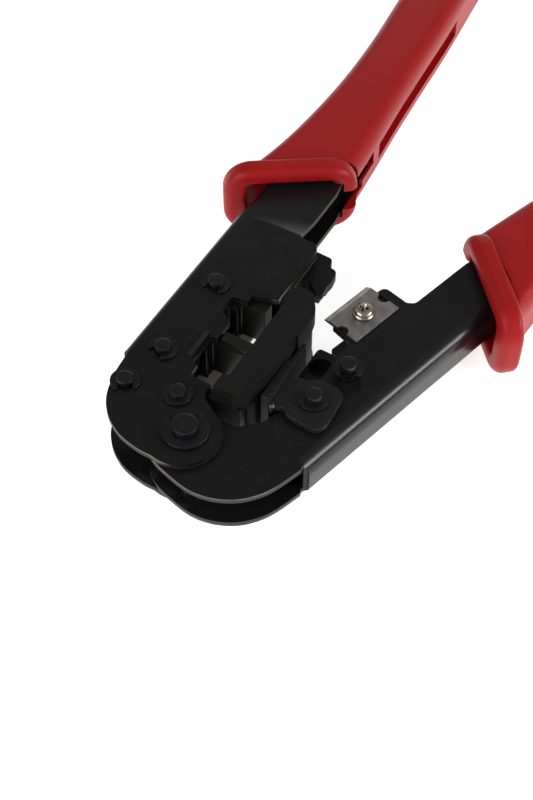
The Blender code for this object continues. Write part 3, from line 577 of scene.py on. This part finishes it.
def fixed_frame():
    piece = prism("fixed_frame", fixed_outline(), -FIXED_HALF, FIXED_HALF)
    shape_channel(piece, FIXED_OUTER, [-30, *STEP_Y, 170], [FIXED_HALF, FIXED_HALF, TANG_HALF, TANG_HALF],
                  FIXED_FOLDS)
    # A plate closing the plug slots from below; its top under the slots carries a light painted colour
    # standing in for the table seen through them.
    join(piece, box_outline(-12.5, -6.6, 13.0, 44.5, 0.5), -FIXED_HALF, SLOT_FLOOR)
    lip = [(-11.5, -0.3), (-9.7, -0.3), (-9.7, 1.2), (-11.2, 0.8)]
    boolean(piece, loft("lip", [[(x, y, FIXED_HALF + z) for x, z in lip] for y in LIP_Y]), "UNION")
    drill(piece, (0, 0), PIVOT_R + RUNNING)
    for centre in (FRONT_DIE_PIN, REAR_DIE_PIN, PAWL_PIN, SPRING_PIN):
        drill(piece, centre, PIN_R + RUNNING)
    bevel(piece, SHEET_EDGE, rim=RIM)
    finish_piece(piece, ["fixed_frame"], "fixed_handle", FIXED,
                 [BLACK, BLACK_RIM, FIXED_CUT_EDGE, SLOT_FLOOR_PAINTED_LIGHT], cut_edge_and_painted_light_faces(FIXED_OUTER))


def moving_outline():
    lobe = arc((0, 0), 7.8, 86, 214, 24)
    corners = [(MOVING_OUTER, 12.9, 0), (MOVING_OUTER, 79.5, 3), (21.8, 92.0, 3), (20.8, TANG_END, 3),
               (13.0, TANG_END, 3), (11.8, 98.0, 3), (10.4, 84.0, 3), (10.2, 65.6, 2.0), (8.6, 64.3, 0.8),
               (1.4, 64.3, 1.6), (0.9, 46.3, 0.8), (6.6, 45.8, 1.0), (7.9, 44.2, 0.8), (8.0, 40.6, 0.6),
               (10.6, 32.0, 3.0), (9.6, 14.6, 5.0), (6.4, 9.6, 2.5), (*lobe[0], 0)]
    return lobe[1:-1] + smooth(MOVING_EDGE, 7) + rounded(corners)


def moving_frame():
    piece = prism("moving_frame", moving_outline(), -MOVING_HALF, MOVING_HALF)
    shape_channel(piece, MOVING_OUTER, [-30, 170], [MOVING_HALF, MOVING_HALF], MOVING_FOLDS)
    cut(piece, box_outline(-4.0, BLADE_X[1] + GAP, BLADE_Y[0] - GAP, BLADE_Y[1] + GAP), BLADE_Z[0] - 0.15, 9)
    drill(piece, (0, 0), PIVOT_R + RUNNING)
    link = Matrix.Rotation(math.radians(OPEN), 2) @ Vector(LINK_PIN)
    drill(piece, link, PIN_R + RUNNING)
    drill(piece, STOP_STUD, PIN_R + RUNNING, 0)
    drill(piece, RIVET, 1.5 + RUNNING)
    drill(piece, SCREW, 1.5 + RUNNING, 0)
    drill(piece, (MOVING_OUTER - 0.3, WEB_START - 0.4), 1.0)
    bevel(piece, SHEET_EDGE, rim=RIM)
    finish_piece(piece, ["moving_frame"], "moving_handle", MOVING, [BLACK, BLACK_RIM, MOVING_CUT_EDGE],
                 cut_edge_and_painted_light_faces(MOVING_OUTER))


# ---------------------------------------------------------------- pins and clips

def pin(node, centre, radius, head, base, top, clip_z, body, place):
    """A headed pin with a clip groove and a chamfered end."""
    wide, thick = head
    low = base + thick
    groove = radius - 0.5
    profile = [(wide - 0.5, base), (wide - 0.15, base + 0.1), (wide, base + 0.35), (wide, low - 0.1),
               (wide - 0.1, low), (radius, low), (radius, clip_z[0]), (groove, clip_z[0]),
               (groove, clip_z[1]), (radius, clip_z[1]), (radius, top - 0.35), (radius - 0.10, top - 0.12),
               (radius - 0.28, top - 0.02), (radius - 0.45, top), (radius * 0.3, top + 0.02)]
    piece = turned(node, centre, profile)
    finish_piece(piece, [node], body, place, [HARDWARE, HARDWARE_RIM], smooth_angle=35.0)


def clip(node, centre, bore, outer, z, opening, mouth, body, place):
    """An E-shaped retaining clip: prongs on the groove, and a mouth of that half angle towards opening."""
    relief = bore + (outer - bore) * 0.16
    start = opening + mouth
    span = 360.0 - 2 * mouth
    outline = arc(centre, outer, start, start + span, 60)
    outline += arc(centre, outer - 0.3, start + span + 3, start + span + 5, 2)
    for low, high, radius in ((0.93, 0.80, bore), (0.78, 0.60, relief), (0.56, 0.44, bore),
                              (0.40, 0.22, relief), (0.20, 0.07, bore)):
        outline += arc(centre, radius, start + span * low, start + span * high, 8)
    outline += arc(centre, outer - 0.3, start - 5, start - 3, 2)
    piece = prism(node, outline, z[0], z[1])
    bevel(piece, 0.12, rim=RIM)
    finish_piece(piece, [node], body, place, [HARDWARE, HARDWARE_RIM])


def held_pin(name, centre, opening, half, stand=1.9):
    clip_z = (half + 0.15, half + 0.75)
    pin(name + "_pin", centre, PIN_R, (3.0, 1.2), -half - 1.5, half + stand,
        (clip_z[0] - 0.1, clip_z[1] + 0.1), "fixed_handle", FIXED)
    clip(name + "_clip", centre, PIN_R - 0.35, 3.5, clip_z, opening, 42.0, "fixed_handle", FIXED)


def pins():
    clip_z = (FIXED_HALF + 0.15, FIXED_HALF + 0.95)
    pin("pivot_pin", (0, 0), PIVOT_R, (4.8, 1.5), -FIXED_HALF - 1.8, FIXED_HALF + 2.7,
        (clip_z[0] - 0.1, clip_z[1] + 0.1), "fixed_handle", FIXED)
    clip("pivot_clip", (0, 0), PIVOT_R - 0.35, 5.5, clip_z, 128.0, 51.0, "fixed_handle", FIXED)
    held_pin("front_die", FRONT_DIE_PIN, 250.0, FIXED_HALF)
    held_pin("rear_die", REAR_DIE_PIN, 270.0, FIXED_HALF)
    held_pin("pawl", PAWL_PIN, 304.0, FIXED_HALF)
    held_pin("spring", SPRING_PIN, 100.0, FIXED_HALF)
    clip_z = (MOVING_HALF + 2.6, MOVING_HALF + 3.2)
    pin("stop_stud", STOP_STUD, PIN_R, (2.7, 0.6), MOVING_HALF - SHEET - 0.9, MOVING_HALF + 5.0,
        (clip_z[0] - 0.1, clip_z[1] + 0.1), "moving_handle", MOVING)
    clip("stop_stud_clip", STOP_STUD, PIN_R - 0.35, 3.5, clip_z, 315.0, 42.0, "moving_handle", MOVING)
    clip_z = (BRACKET_HALF + 0.15, BRACKET_HALF + 0.75)
    pin("link_pin", LINK_PIN, PIN_R, (2.9, 1.0), -BRACKET_HALF - 1.2, BRACKET_HALF + 2.6,
        (clip_z[0] - 0.1, clip_z[1] + 0.1), "thrust_link", FIXED)
    clip("link_clip", LINK_PIN, PIN_R - 0.35, 3.5, clip_z, 110.0, 42.0, "thrust_link", FIXED)


# ---------------------------------------------------------------- die, ram, bracket

def die_end(centre, normal):
    """Picks the die's dull end faces: behind the rear slot, and in front of the front one."""
    behind = normal.x > 0.8 and centre.y > SLOT_6P[1]
    ahead = normal.y < -0.8 and centre.y < SLOT_8P[0] - 0.5
    return DULL_END if behind or ahead else None


def die_block():
    half = FIXED_HALF - SHEET - GAP
    outline = [(-23.3, 13.6, 1.0), (-20.0, 10.4, 1.0), (-8.4, 11.2, 0.5), (DIE_CHEEK, 11.9, 0.5),
               (DIE_CHEEK, SLOT_8P[0], 0.4), (DIE_WALL, SLOT_8P[0], 0.4), (DIE_WALL, 17.2, 0.2),
               (DIE_POCKET, 17.2, 0.4), (DIE_POCKET, 23.2, 0.4), (DIE_WALL, 23.2, 0.2),
               (DIE_WALL, SLOT_8P[1], 0.4), (TONGUE_END, SLOT_8P[1], 0.6), (TONGUE_END, SLOT_6P[0], 0.6),
               (DIE_WALL, SLOT_6P[0], 0.4), (DIE_WALL, 31.5, 0.2), (DIE_POCKET, 31.5, 0.4),
               (DIE_POCKET, 37.4, 0.4), (DIE_WALL, 37.4, 0.2),
               (DIE_WALL, SLOT_6P[1], 0.4), (REAR_CHEEK, SLOT_6P[1], 0.4), (REAR_CHEEK, 43.2, 0.5),
               (-4.6, 45.6, 0.5), (-23.3, 45.6, 1.0)]
    piece = prism("die_block", rounded(outline), -half, half)
    join(piece, box_outline(-7.0, TONGUE_END - 0.4, SLOT_8P[1] + 0.25, SLOT_6P[0] - 0.25, 0.3),
         half - 1.0, FIXED_HALF - 0.1)
    for y in COMB_Y:
        cut(piece, box_outline(DIE_WALL - 0.8, DIE_WALL + 0.5, y, y + COMB_WIDTH), -9, 9)
    for centre in (FRONT_DIE_PIN, REAR_DIE_PIN):
        drill(piece, centre, PIN_R + RUNNING)
    bevel(piece, 0.10, rim=RIM)
    finish_piece(piece, ["die_block"], "fixed_handle", FIXED, [DIE_BLACK, BLACK_RIM, CAP_BLACK],
                 die_end)


def liner_plates():
    outline = rounded([(-23.0, 46.4, 1), (-1.1, 46.4, 0.6), (-1.1, 62.4, 0.6), (-3.4, 64.0, 0.6),
                       (-23.0, 64.0, 1)])
    top = FIXED_HALF - SHEET - GAP
    for node, low in (("upper_liner_plate", top - LINER), ("lower_liner_plate", -top)):
        piece = prism(node, outline, low, low + LINER)
        bevel(piece, 0.10)
        finish_piece(piece, [node], "fixed_handle", FIXED, [TEMPERED])


def cable_guide():
    outline = rounded([(-12.0, 47.0, 1.0), (-2.2, 47.0, 1.0), (-2.2, 55.8, 0.6), (0.2, 56.2, 0.6),
                       (2.2, 54.4, 1.2), (3.6, 53.0, 0.9), (5.1, 53.8, 0.9), (4.9, 57.0, 1.2),
                       (5.1, 59.0, 1.2), (4.6, 62.2, 1.5), (2.4, 62.7, 0.9), (1.6, 65.4, 1.2),
                       (-3.2, 65.6, 1.0), (-4.4, 63.4, 0.4), (-12.0, 63.4, 1.0)])
    piece = prism("cable_guide", outline, -3.3, 3.3)
    cut(piece, box_outline(3.2, 9.0, 50.0, 70.0), -9, 0.4)
    cut(piece, box_outline(-1.9, 9.0, 50.0, 55.6), -9, 1.2)
    bevel(piece, 0.22, 3)
    finish_piece(piece, ["cable_guide"], "fixed_handle", FIXED, [GUIDE_PLASTIC])


def ram_block():
    cap = rounded([(RAM_FACE - 1.6, 10.4, 0.3), (5.6, 10.8, 2.0), (8.6, 14.2, 4.0), (RAM_BACK, 20.0, 3.0),
                   (RAM_BACK, 32.6, 0), (RAM_BACK + 0.6, 32.6, 0), (RAM_BACK + 0.6, 41.0, 6.0),
                   (6.6, 46.4, 4.0), (1.2, 46.2, 3.0), (RAM_FACE - 1.4, 41.0, 0.3), (RAM_FACE, 40.6, 0.3),
                   (RAM_FACE, 15.2, 0.3), (RAM_FACE - 1.5, 14.6, 0.3)])
    body = rounded([(2.6, 14.6, 0.3), (8.3, 14.9, 3.0), (RAM_BACK - 0.3, 20.2, 3.0),
                    (RAM_BACK - 0.3, 32.9, 0), (RAM_BACK + 0.3, 32.9, 0), (RAM_BACK + 0.3, 40.4, 5.0),
                    (6.4, 45.8, 3.0), (4.0, 45.8, 0.5), (4.0, 42.5, 0), (2.6, 42.5, 0.3)])
    collar = rounded([(3.5, 10.9, 0.3), (5.5, 11.1, 2.0), (8.4, 14.4, 3.0), (8.4, 16.0, 0), (3.5, 16.0, 0)])
    piece = prism("ram_block", cap, CAP_BOTTOM, CAP_TOP)
    join(piece, body, -CAP_BOTTOM - 0.5, CAP_BOTTOM + 0.5)
    join(piece, collar, MOVING_HALF + GAP, CAP_BOTTOM + 0.5)
    join(piece, cap, FLANGE_BOTTOM, -CAP_BOTTOM)
    cut(piece, box_outline(0.0, 7.6, SLOT_8P[1] - 0.25, SLOT_6P[0] + 0.25), -CAP_BOTTOM - 0.1, CAP_BOTTOM)
    for low, high in ((15.2, 25.2), (31.0, 38.0)):
        for z0, z1 in ((-4.9, -1.6), (0.7, 3.6)):
            cut(piece, box_outline(0.0, 5.4, low - 0.3, high + 0.3), z0, z1)
    bevel(piece, 0.18, rim=RIM)
    finish_piece(piece, ["ram_block"], "ram", FIXED, [CAP_BLACK, BLACK_RIM])


def thrust_bracket():
    plate = rounded([(WEB_LEFT + 0.4, 16.0, 0), (15.9, 16.2, 1.0), (17.2, 14.9, 1.2), (24.6, 14.2, 1.8),
                     (26.4, 16.6, 2.5), (25.9, 26.0, 2.0), (23.6, 27.6, 1.5), (18.2, 27.2, 2.0),
                     (16.6, 25.8, 1.5), (WEB_LEFT + 0.4, 25.4, 0)])
    web = box_outline(WEB_LEFT, WEB_RIGHT, 15.9, 28.2)
    piece = prism("thrust_bracket", web, -BRACKET_HALF, BRACKET_HALF + 1.2)
    join(piece, box_outline(WEB_LEFT + 0.6, WEB_RIGHT - 0.4, 27.5, 34.4, 0.3), -4.5, BRACKET_HALF + 1.0)
    for z0 in (-BRACKET_HALF + 0.1, BRACKET_HALF - SHEET - 0.1):
        join(piece, plate, z0, z0 + SHEET)
    drill(piece, LINK_PIN, PIN_R + RUNNING)
    bevel(piece, 0.38, 3, rim=RIM)
    finish_piece(piece, ["thrust_bracket"], "thrust_link", FIXED, [BRACKET_BLACK, BRACKET_RIM])


def link_plate():
    left = WEB_RIGHT + GAP
    upper = rounded([(left, 26.0, 0.5), (16.5, 25.0, 1.5), (21.4, 29.0, 2.0), (21.4, 38.9, 1.5),
                     (left, 39.2, 1.0)])
    lower = rounded([(left, 27.0, 0.5), (16.5, 26.0, 1.5), (20.6, 30.0, 2.0), (17.4, 37.6, 1.5),
                     (left, 40.2, 0.5)])
    piece = prism("link_plate", upper, 0.5, 2.3)
    join(piece, lower, -2.3, -0.9)
    join(piece, box_outline(left, left + 0.8, 28.0, 38.0), -1.5, 1.0)
    cut(piece, circle((15.6, 34.0), 2.9, 48), 0.0, 9.0)
    bevel(piece, 0.15, rim=RIM)
    finish_piece(piece, ["link_plate"], "thrust_link", FIXED, [BLACK, BLACK_RIM])


def bracket_rivet():
    ball, centre_z = 0.85, 7.75
    profile = [(0.45, 6.2), (0.45, 7.2)]
    for angle in range(35, 172, 15):
        turn = math.radians(angle)
        profile.append((ball * math.sin(turn), centre_z - ball * math.cos(turn)))
    piece = turned("bracket_rivet", (13.4, 15.0), profile, 24)
    finish_piece(piece, ["bracket_rivet"], "thrust_link", FIXED, [TEMPERED])


# ---------------------------------------------------------------- cutter

def ground_slope(_, normal):
    """Picks the blade's ground slope."""
    return BLADE_SLOPE if normal.x < -0.2 and normal.z > 0.2 else None


def cutter_blade():
    notch = 1.6
    outline = [(BLADE_X[0], BLADE_Y[0])] + arc((SCREW[0], BLADE_Y[0]), notch, 180, 0, 20)
    outline += [(BLADE_X[1], BLADE_Y[0]), (BLADE_X[1], BLADE_Y[1])]
    outline += arc((SCREW[0], BLADE_Y[1]), notch, 360, 180, 20) + [(BLADE_X[0], BLADE_Y[1])]
    piece = prism("cutter_blade", outline, BLADE_Z[0], BLADE_Z[1])
    wedge = [(BLADE_X[0] - 1.0, BLADE_Z[0] - 0.3), (BLADE_X[0] + 1.6, BLADE_Z[1] + 0.05),
             (BLADE_X[0] - 1.0, BLADE_Z[1] + 1.0)]
    boolean(piece, loft("wedge", [[(x, y, z) for x, z in wedge] for y in (BLADE_Y[0] - 1, BLADE_Y[1] + 1)]))
    drill(piece, SCREW, 1.75)
    bevel(piece, 0.05, 1, 30.0)
    finish_piece(piece, ["cutter_blade"], "moving_handle", MOVING, [BLADE_STEEL, STEEL, BLADE_BEVEL],
                 ground_slope)


def blade_screw():
    top = BLADE_Z[1] + 2.2
    low = BLADE_Z[1] + 0.2
    profile = [(1.1, 2.4), (1.45, 2.9), (1.45, low), (2.3, low), (2.55, low + 0.08), (2.65, low + 0.3),
               (2.55, low + 0.52), (2.35, low + 0.62), (2.28, low + 0.68), (2.36, top - 1.05),
               (2.28, top - 0.75), (2.0, top - 0.42), (1.5, top - 0.18), (0.9, top - 0.04), (0.2, top)]
    piece = turned("blade_screw", SCREW, profile, 40)
    centre = Vector(SCREW)
    for turn in (25, 115):
        spin = Matrix.Rotation(math.radians(turn), 2)
        arm = [spin @ Vector(p) for p in ((-1.5, -0.38), (1.5, -0.38), (1.5, 0.38), (-1.5, 0.38))]
        levels = ((0.45, top - 1.6), (1.0, top + 0.5))
        boolean(piece, loft("recess", [[(*(centre + p * scale), z) for p in arm] for scale, z in levels]))
    bevel(piece, 0.05, 1, 45.0)
    finish_piece(piece, ["blade_screw"], "moving_handle", MOVING, [NICKEL])


# ---------------------------------------------------------------- grips

def contour(outer, inner, half, radius, side, crown=0.0):
    """A rounded rectangle standing on the line from inner to outer; its top and bottom can be crowned."""
    outer = Vector(outer)
    inner = Vector(inner)
    width = (outer - inner).length
    along = (outer - inner).normalized()
    radius = max(0.3, min(radius, width / 2 - 0.3, half - 0.3))
    loop = []
    for cx, cz, start in ((radius, -half + radius, 180), (width - radius, -half + radius, 270),
                          (width - radius, half - radius, 0), (radius, half - radius, 90)):
        for a, z in arc((cx, cz), radius, start, start + 90, 9):
            loop.append((a, z))
        if start in (270, 90):
            sign = 1 if start == 270 else -1
            loop += [(width if sign > 0 else 0.0, sign * (half - radius) * t) for t in (-0.33, 0.33)]
        else:
            sign = -1 if start == 180 else 1
            for t in (0.25, 0.5, 0.75):
                a = radius + (width - 2 * radius) * (t if sign < 0 else 1 - t)
                loop.append((a, sign * half))
    out = []
    for a, z in loop:
        lift = crown * (1 - (2 * a / width - 1) ** 2) * z / half
        flat = inner + along * a
        out.append((side * flat.x, flat.y, z + lift))
    return out


def quarter(radius, angle):
    """How far a rounded edge still lies inside its side, and below its face, at an angle from that face."""
    turn = math.radians(angle)
    return radius * (1 - math.sin(turn)), radius * (1 - math.cos(turn))


def grip(node, side, tang_half, gate_low, body, place):
    """Moulded grip in one skin: guard with a hollow mouth, fillet, waisted body and rounded end."""
    along = (GUARD_INNER - GUARD_OUTER).normalized()
    ahead = Vector((along.y, -along.x))
    length = (GUARD_INNER - GUARD_OUTER).length

    def guard_section(a0, a1, half, radius, depth):
        low = GUARD_OUTER + along * a0 + ahead * depth
        high = GUARD_OUTER + along * a1 + ahead * depth
        return contour(low, high, half, radius, side)

    front = -GUARD_THICK / 2
    back = GUARD_THICK / 2
    low, high, half, corner = MOUTH_INSET[0], length - MOUTH_INSET[1], tang_half + 0.7, 1.5
    sections = [guard_section(low, high, half, corner, back - 1.6)]
    for angle in range(0, 91, 18):
        grow, sink = quarter(MOUTH_LIP, 90 - angle)
        sections.append(guard_section(low - grow, high + grow, half + grow, corner + grow, front + sink))
    for angle in range(0, 91, 15):
        inset, sink = quarter(GUARD_FRONT_RIM, angle)
        sections.append(guard_section(inset, length - inset, GUARD_HALF - inset, GUARD_ROUND - inset,
                                      front + sink))
    for angle in range(90, -1, -15):
        inset, sink = quarter(GUARD_BACK_RIM, angle)
        sections.append(guard_section(inset, length - inset, GUARD_HALF - inset, GUARD_ROUND - inset,
                                      back - sink))
    start = (Vector(GRIP_OUTER[0]) - GUARD_OUTER).dot(along)
    for angle in range(0, 91, 30):
        grow, rise = quarter(BODY_FILLET, angle)
        sections.append(guard_section(start - grow, length - 1.6 + 0.1 * grow, GRIP_HALF + grow,
                                      BODY_ROUND + grow, back + rise))
    outer = smooth(GRIP_OUTER, 7)
    inner = smooth(GRIP_INNER, 7)
    for o, i in list(zip(outer, inner))[1:]:
        sections.append(contour(o, i, GRIP_HALF, BODY_ROUND, side, BODY_CROWN))
    reach = GRIP_END - outer[-1].y
    for angle in range(12, 85, 12):
        fall = math.cos(math.radians(angle))
        shrink = END_ROUND * (1 - fall)
        ahead_y = reach * math.sin(math.radians(angle))
        o = Vector((outer[-1].x - shrink * 0.7, outer[-1].y + ahead_y))
        i = Vector((inner[-1].x + shrink * 0.8, inner[-1].y + ahead_y))
        sections.append(contour(o, i, GRIP_HALF - shrink * 0.9, BODY_ROUND, side, BODY_CROWN * fall))
    piece = loft(node, sections)

    # Room for the tang's two plates and its web, then the openings along the inner side.
    tang = TANG_ROOM[side]
    web = tang[5:2:-1] + [(x - SHEET - 0.6, y) for x, y in tang[3:]]
    throat = [tang[0], (tang[0][0] + 1.0, 103.5), (22.0, 103.5), tang[-1]]
    gate = [(3.0, 80.0), (3.0, 99.5), (9.6, 97.0), (10.8, 84.0)]
    step = [(3.0, 98.0), (3.0, 103.0), (9.4, 106.0), (10.0, 96.0)]
    for outline, z0, z1 in ((tang, -tang_half - GAP, -tang_half + SHEET + GAP),
                            (tang, tang_half - SHEET - GAP, tang_half + GAP),
                            (web, 0.5 - tang_half, tang_half - 0.5),
                            (throat, -tang_half - GAP, tang_half + GAP),
                            (gate, gate_low, GATE_TOP),
                            (step, -1.0, GATE_TOP)):
        cut(piece, [(side * x, y) for x, y in outline], z0, z1)
    slot = [(4.0, 107.5, 0), (4.0, 170.0, 0), (16.0, 166.0, 2.0), (14.6, 142.0, 3.0), (13.0, 124.0, 3.0),
            (11.6, 110.5, 2.0)]
    cut(piece, rounded([(side * x, y, radius) for x, y, radius in slot]), -SLOT_HALF, SLOT_HALF)
    bevel(piece, 0.35, 3, 50.0)
    finish_piece(piece, [node], body, place, [RED], smooth_angle=60.0)


# ---------------------------------------------------------------- springs

def wire(node, path, radius, body, sides=10):
    sections = []
    for i, point in enumerate(path):
        ahead = (path[min(i + 1, len(path) - 1)] - path[max(i - 1, 0)]).normalized()
        out = ahead.cross(Vector((0, 0, 1))).normalized()
        up = out.cross(ahead)
        sections.append([tuple(point + out * radius * math.cos(a) + up * radius * math.sin(a))
                         for a in (2 * math.pi * k / sides for k in range(sides))])
    finish_piece(loft(node, sections), [node], body, FIXED, [STEEL], smooth_angle=60.0)


def torsion_spring(node, centre, radius, wire_r, z0, pitch, start, turns, legs):
    steps = round(turns * 48)
    coil = []
    for i in range(steps + 1):
        angle = math.radians(start) + 2 * math.pi * turns * i / steps
        coil.append(Vector((centre[0] + radius * math.cos(angle), centre[1] + radius * math.sin(angle),
                            z0 + pitch * turns * i / steps)))
    first = ((coil[0] - coil[1]) * Vector((1, 1, 0))).normalized()
    last = ((coil[-1] - coil[-2]) * Vector((1, 1, 0))).normalized()
    wire(node, [coil[0] + first * legs[0], *coil, coil[-1] + last * legs[1]], wire_r, "fixed_handle")


# ---------------------------------------------------------------- build

fixed_frame()
moving_frame()
pins()
die_block()
liner_plates()
cable_guide()
ram_block()
thrust_bracket()
link_plate()
bracket_rivet()
cutter_blade()
blade_screw()
grip("fixed_grip", -1.0, TANG_HALF, -3.2, "fixed_handle", FIXED)
grip("moving_grip", 1.0, MOVING_HALF, -5.6, "moving_handle", MOVING)
torsion_spring("return_spring", (0, 0), 5.0, 0.45, -3.0, 1.1, 20, 1.45, (7.0, 4.6))
torsion_spring("pawl_spring", PAWL_PIN, 2.75, 0.28, 2.8, 0.75, 200, 2.2, (5.0, 4.0))
dress_cad_nodes()


# ---------------------------------------------------------------- studio

MIRRORED_BY_TOPS = (-0.34, 0.47, 0.81)        # directions seen by reflection
MIRRORED_BY_STEP = (-0.346, 0.833, 0.433)
CAMERA_FROM_PIVOT = (108.20, -149.55, 257.61)
CAMERA_TILT = 37.5
CAMERA_TURN = 30.3
FLOOR_SIZE = 3.0
FLOOR_DROP = 0.0002               # below the tool's lowest point


def make_floor():
    bm = bmesh.new()
    bmesh.ops.create_grid(bm, x_segments=2, y_segments=2, size=FLOOR_SIZE)
    floor = new_object("floor", bm)
    floor.location.z = -FLOOR_DROP
    made, _, shader, _ = nodes_of("floor")
    shader.inputs["Base Color"].default_value = (0.95, 0.95, 0.95, 1)
    shader.inputs["Roughness"].default_value = 0.9
    shader.inputs["Emission Color"].default_value = (1, 1, 1, 1)
    shader.inputs["Emission Strength"].default_value = 0.78
    floor.data.materials.append(made)


def area_light(name, place, size, power):
    """A rectangular lamp turned towards the tool."""
    data = bpy.data.lights.new(name, "AREA")
    data.shape = "RECTANGLE"
    data.size, data.size_y = size
    data.energy = power
    lamp = bpy.data.objects.new(name, data)
    lamp.location = place
    lamp.rotation_euler = (-Vector(place)).to_track_quat("-Z", "Y").to_euler()
    bpy.context.scene.collection.objects.link(lamp)


def make_world():
    """Pale surroundings, a dark ceiling patch over the flat tops, and a soft light over the frame's step."""
    world = bpy.data.worlds.new("studio")
    world.use_nodes = True
    tree = world.node_tree
    coords = tree.nodes.new("ShaderNodeTexCoord")

    def facing(direction):
        node = tree.nodes.new("ShaderNodeVectorMath")
        node.operation = "DOT_PRODUCT"
        node.inputs[1].default_value = Vector(direction).normalized()
        tree.links.new(coords.outputs["Generated"], node.inputs[0])
        return node.outputs["Value"]

    ceiling = ramp(tree, facing(MIRRORED_BY_TOPS), 0.88, 0.96, 0.34, 0.17)
    softbox = ramp(tree, facing(MIRRORED_BY_STEP), 0.980, 0.998, 0.0, 1.5)
    strength = math_node(tree, "ADD", ceiling, softbox)
    tree.links.new(strength, tree.nodes["Background"].inputs["Strength"])
    tree.nodes["Background"].inputs["Color"].default_value = (1, 1, 1, 1)
    bpy.context.scene.world = world


make_floor()
make_world()
bpy.context.scene.view_settings.view_transform = "Standard"
area_light("key", (-0.35, -0.80, 0.60), (0.8, 0.6), 4.8)
area_light("right", (0.75, 0.13, 0.38), (0.6, 0.18), 4.6)

camera_data = bpy.data.cameras.new("camera")
camera_data.lens = 63.0
camera_data.sensor_width = 36.0
camera = bpy.data.objects.new("camera", camera_data)
camera.location = PIVOT + Vector(CAMERA_FROM_PIVOT) * MM
camera.rotation_euler = (math.radians(CAMERA_TILT), 0.0, math.radians(CAMERA_TURN))
bpy.context.scene.collection.objects.link(camera)
bpy.context.scene.camera = camera
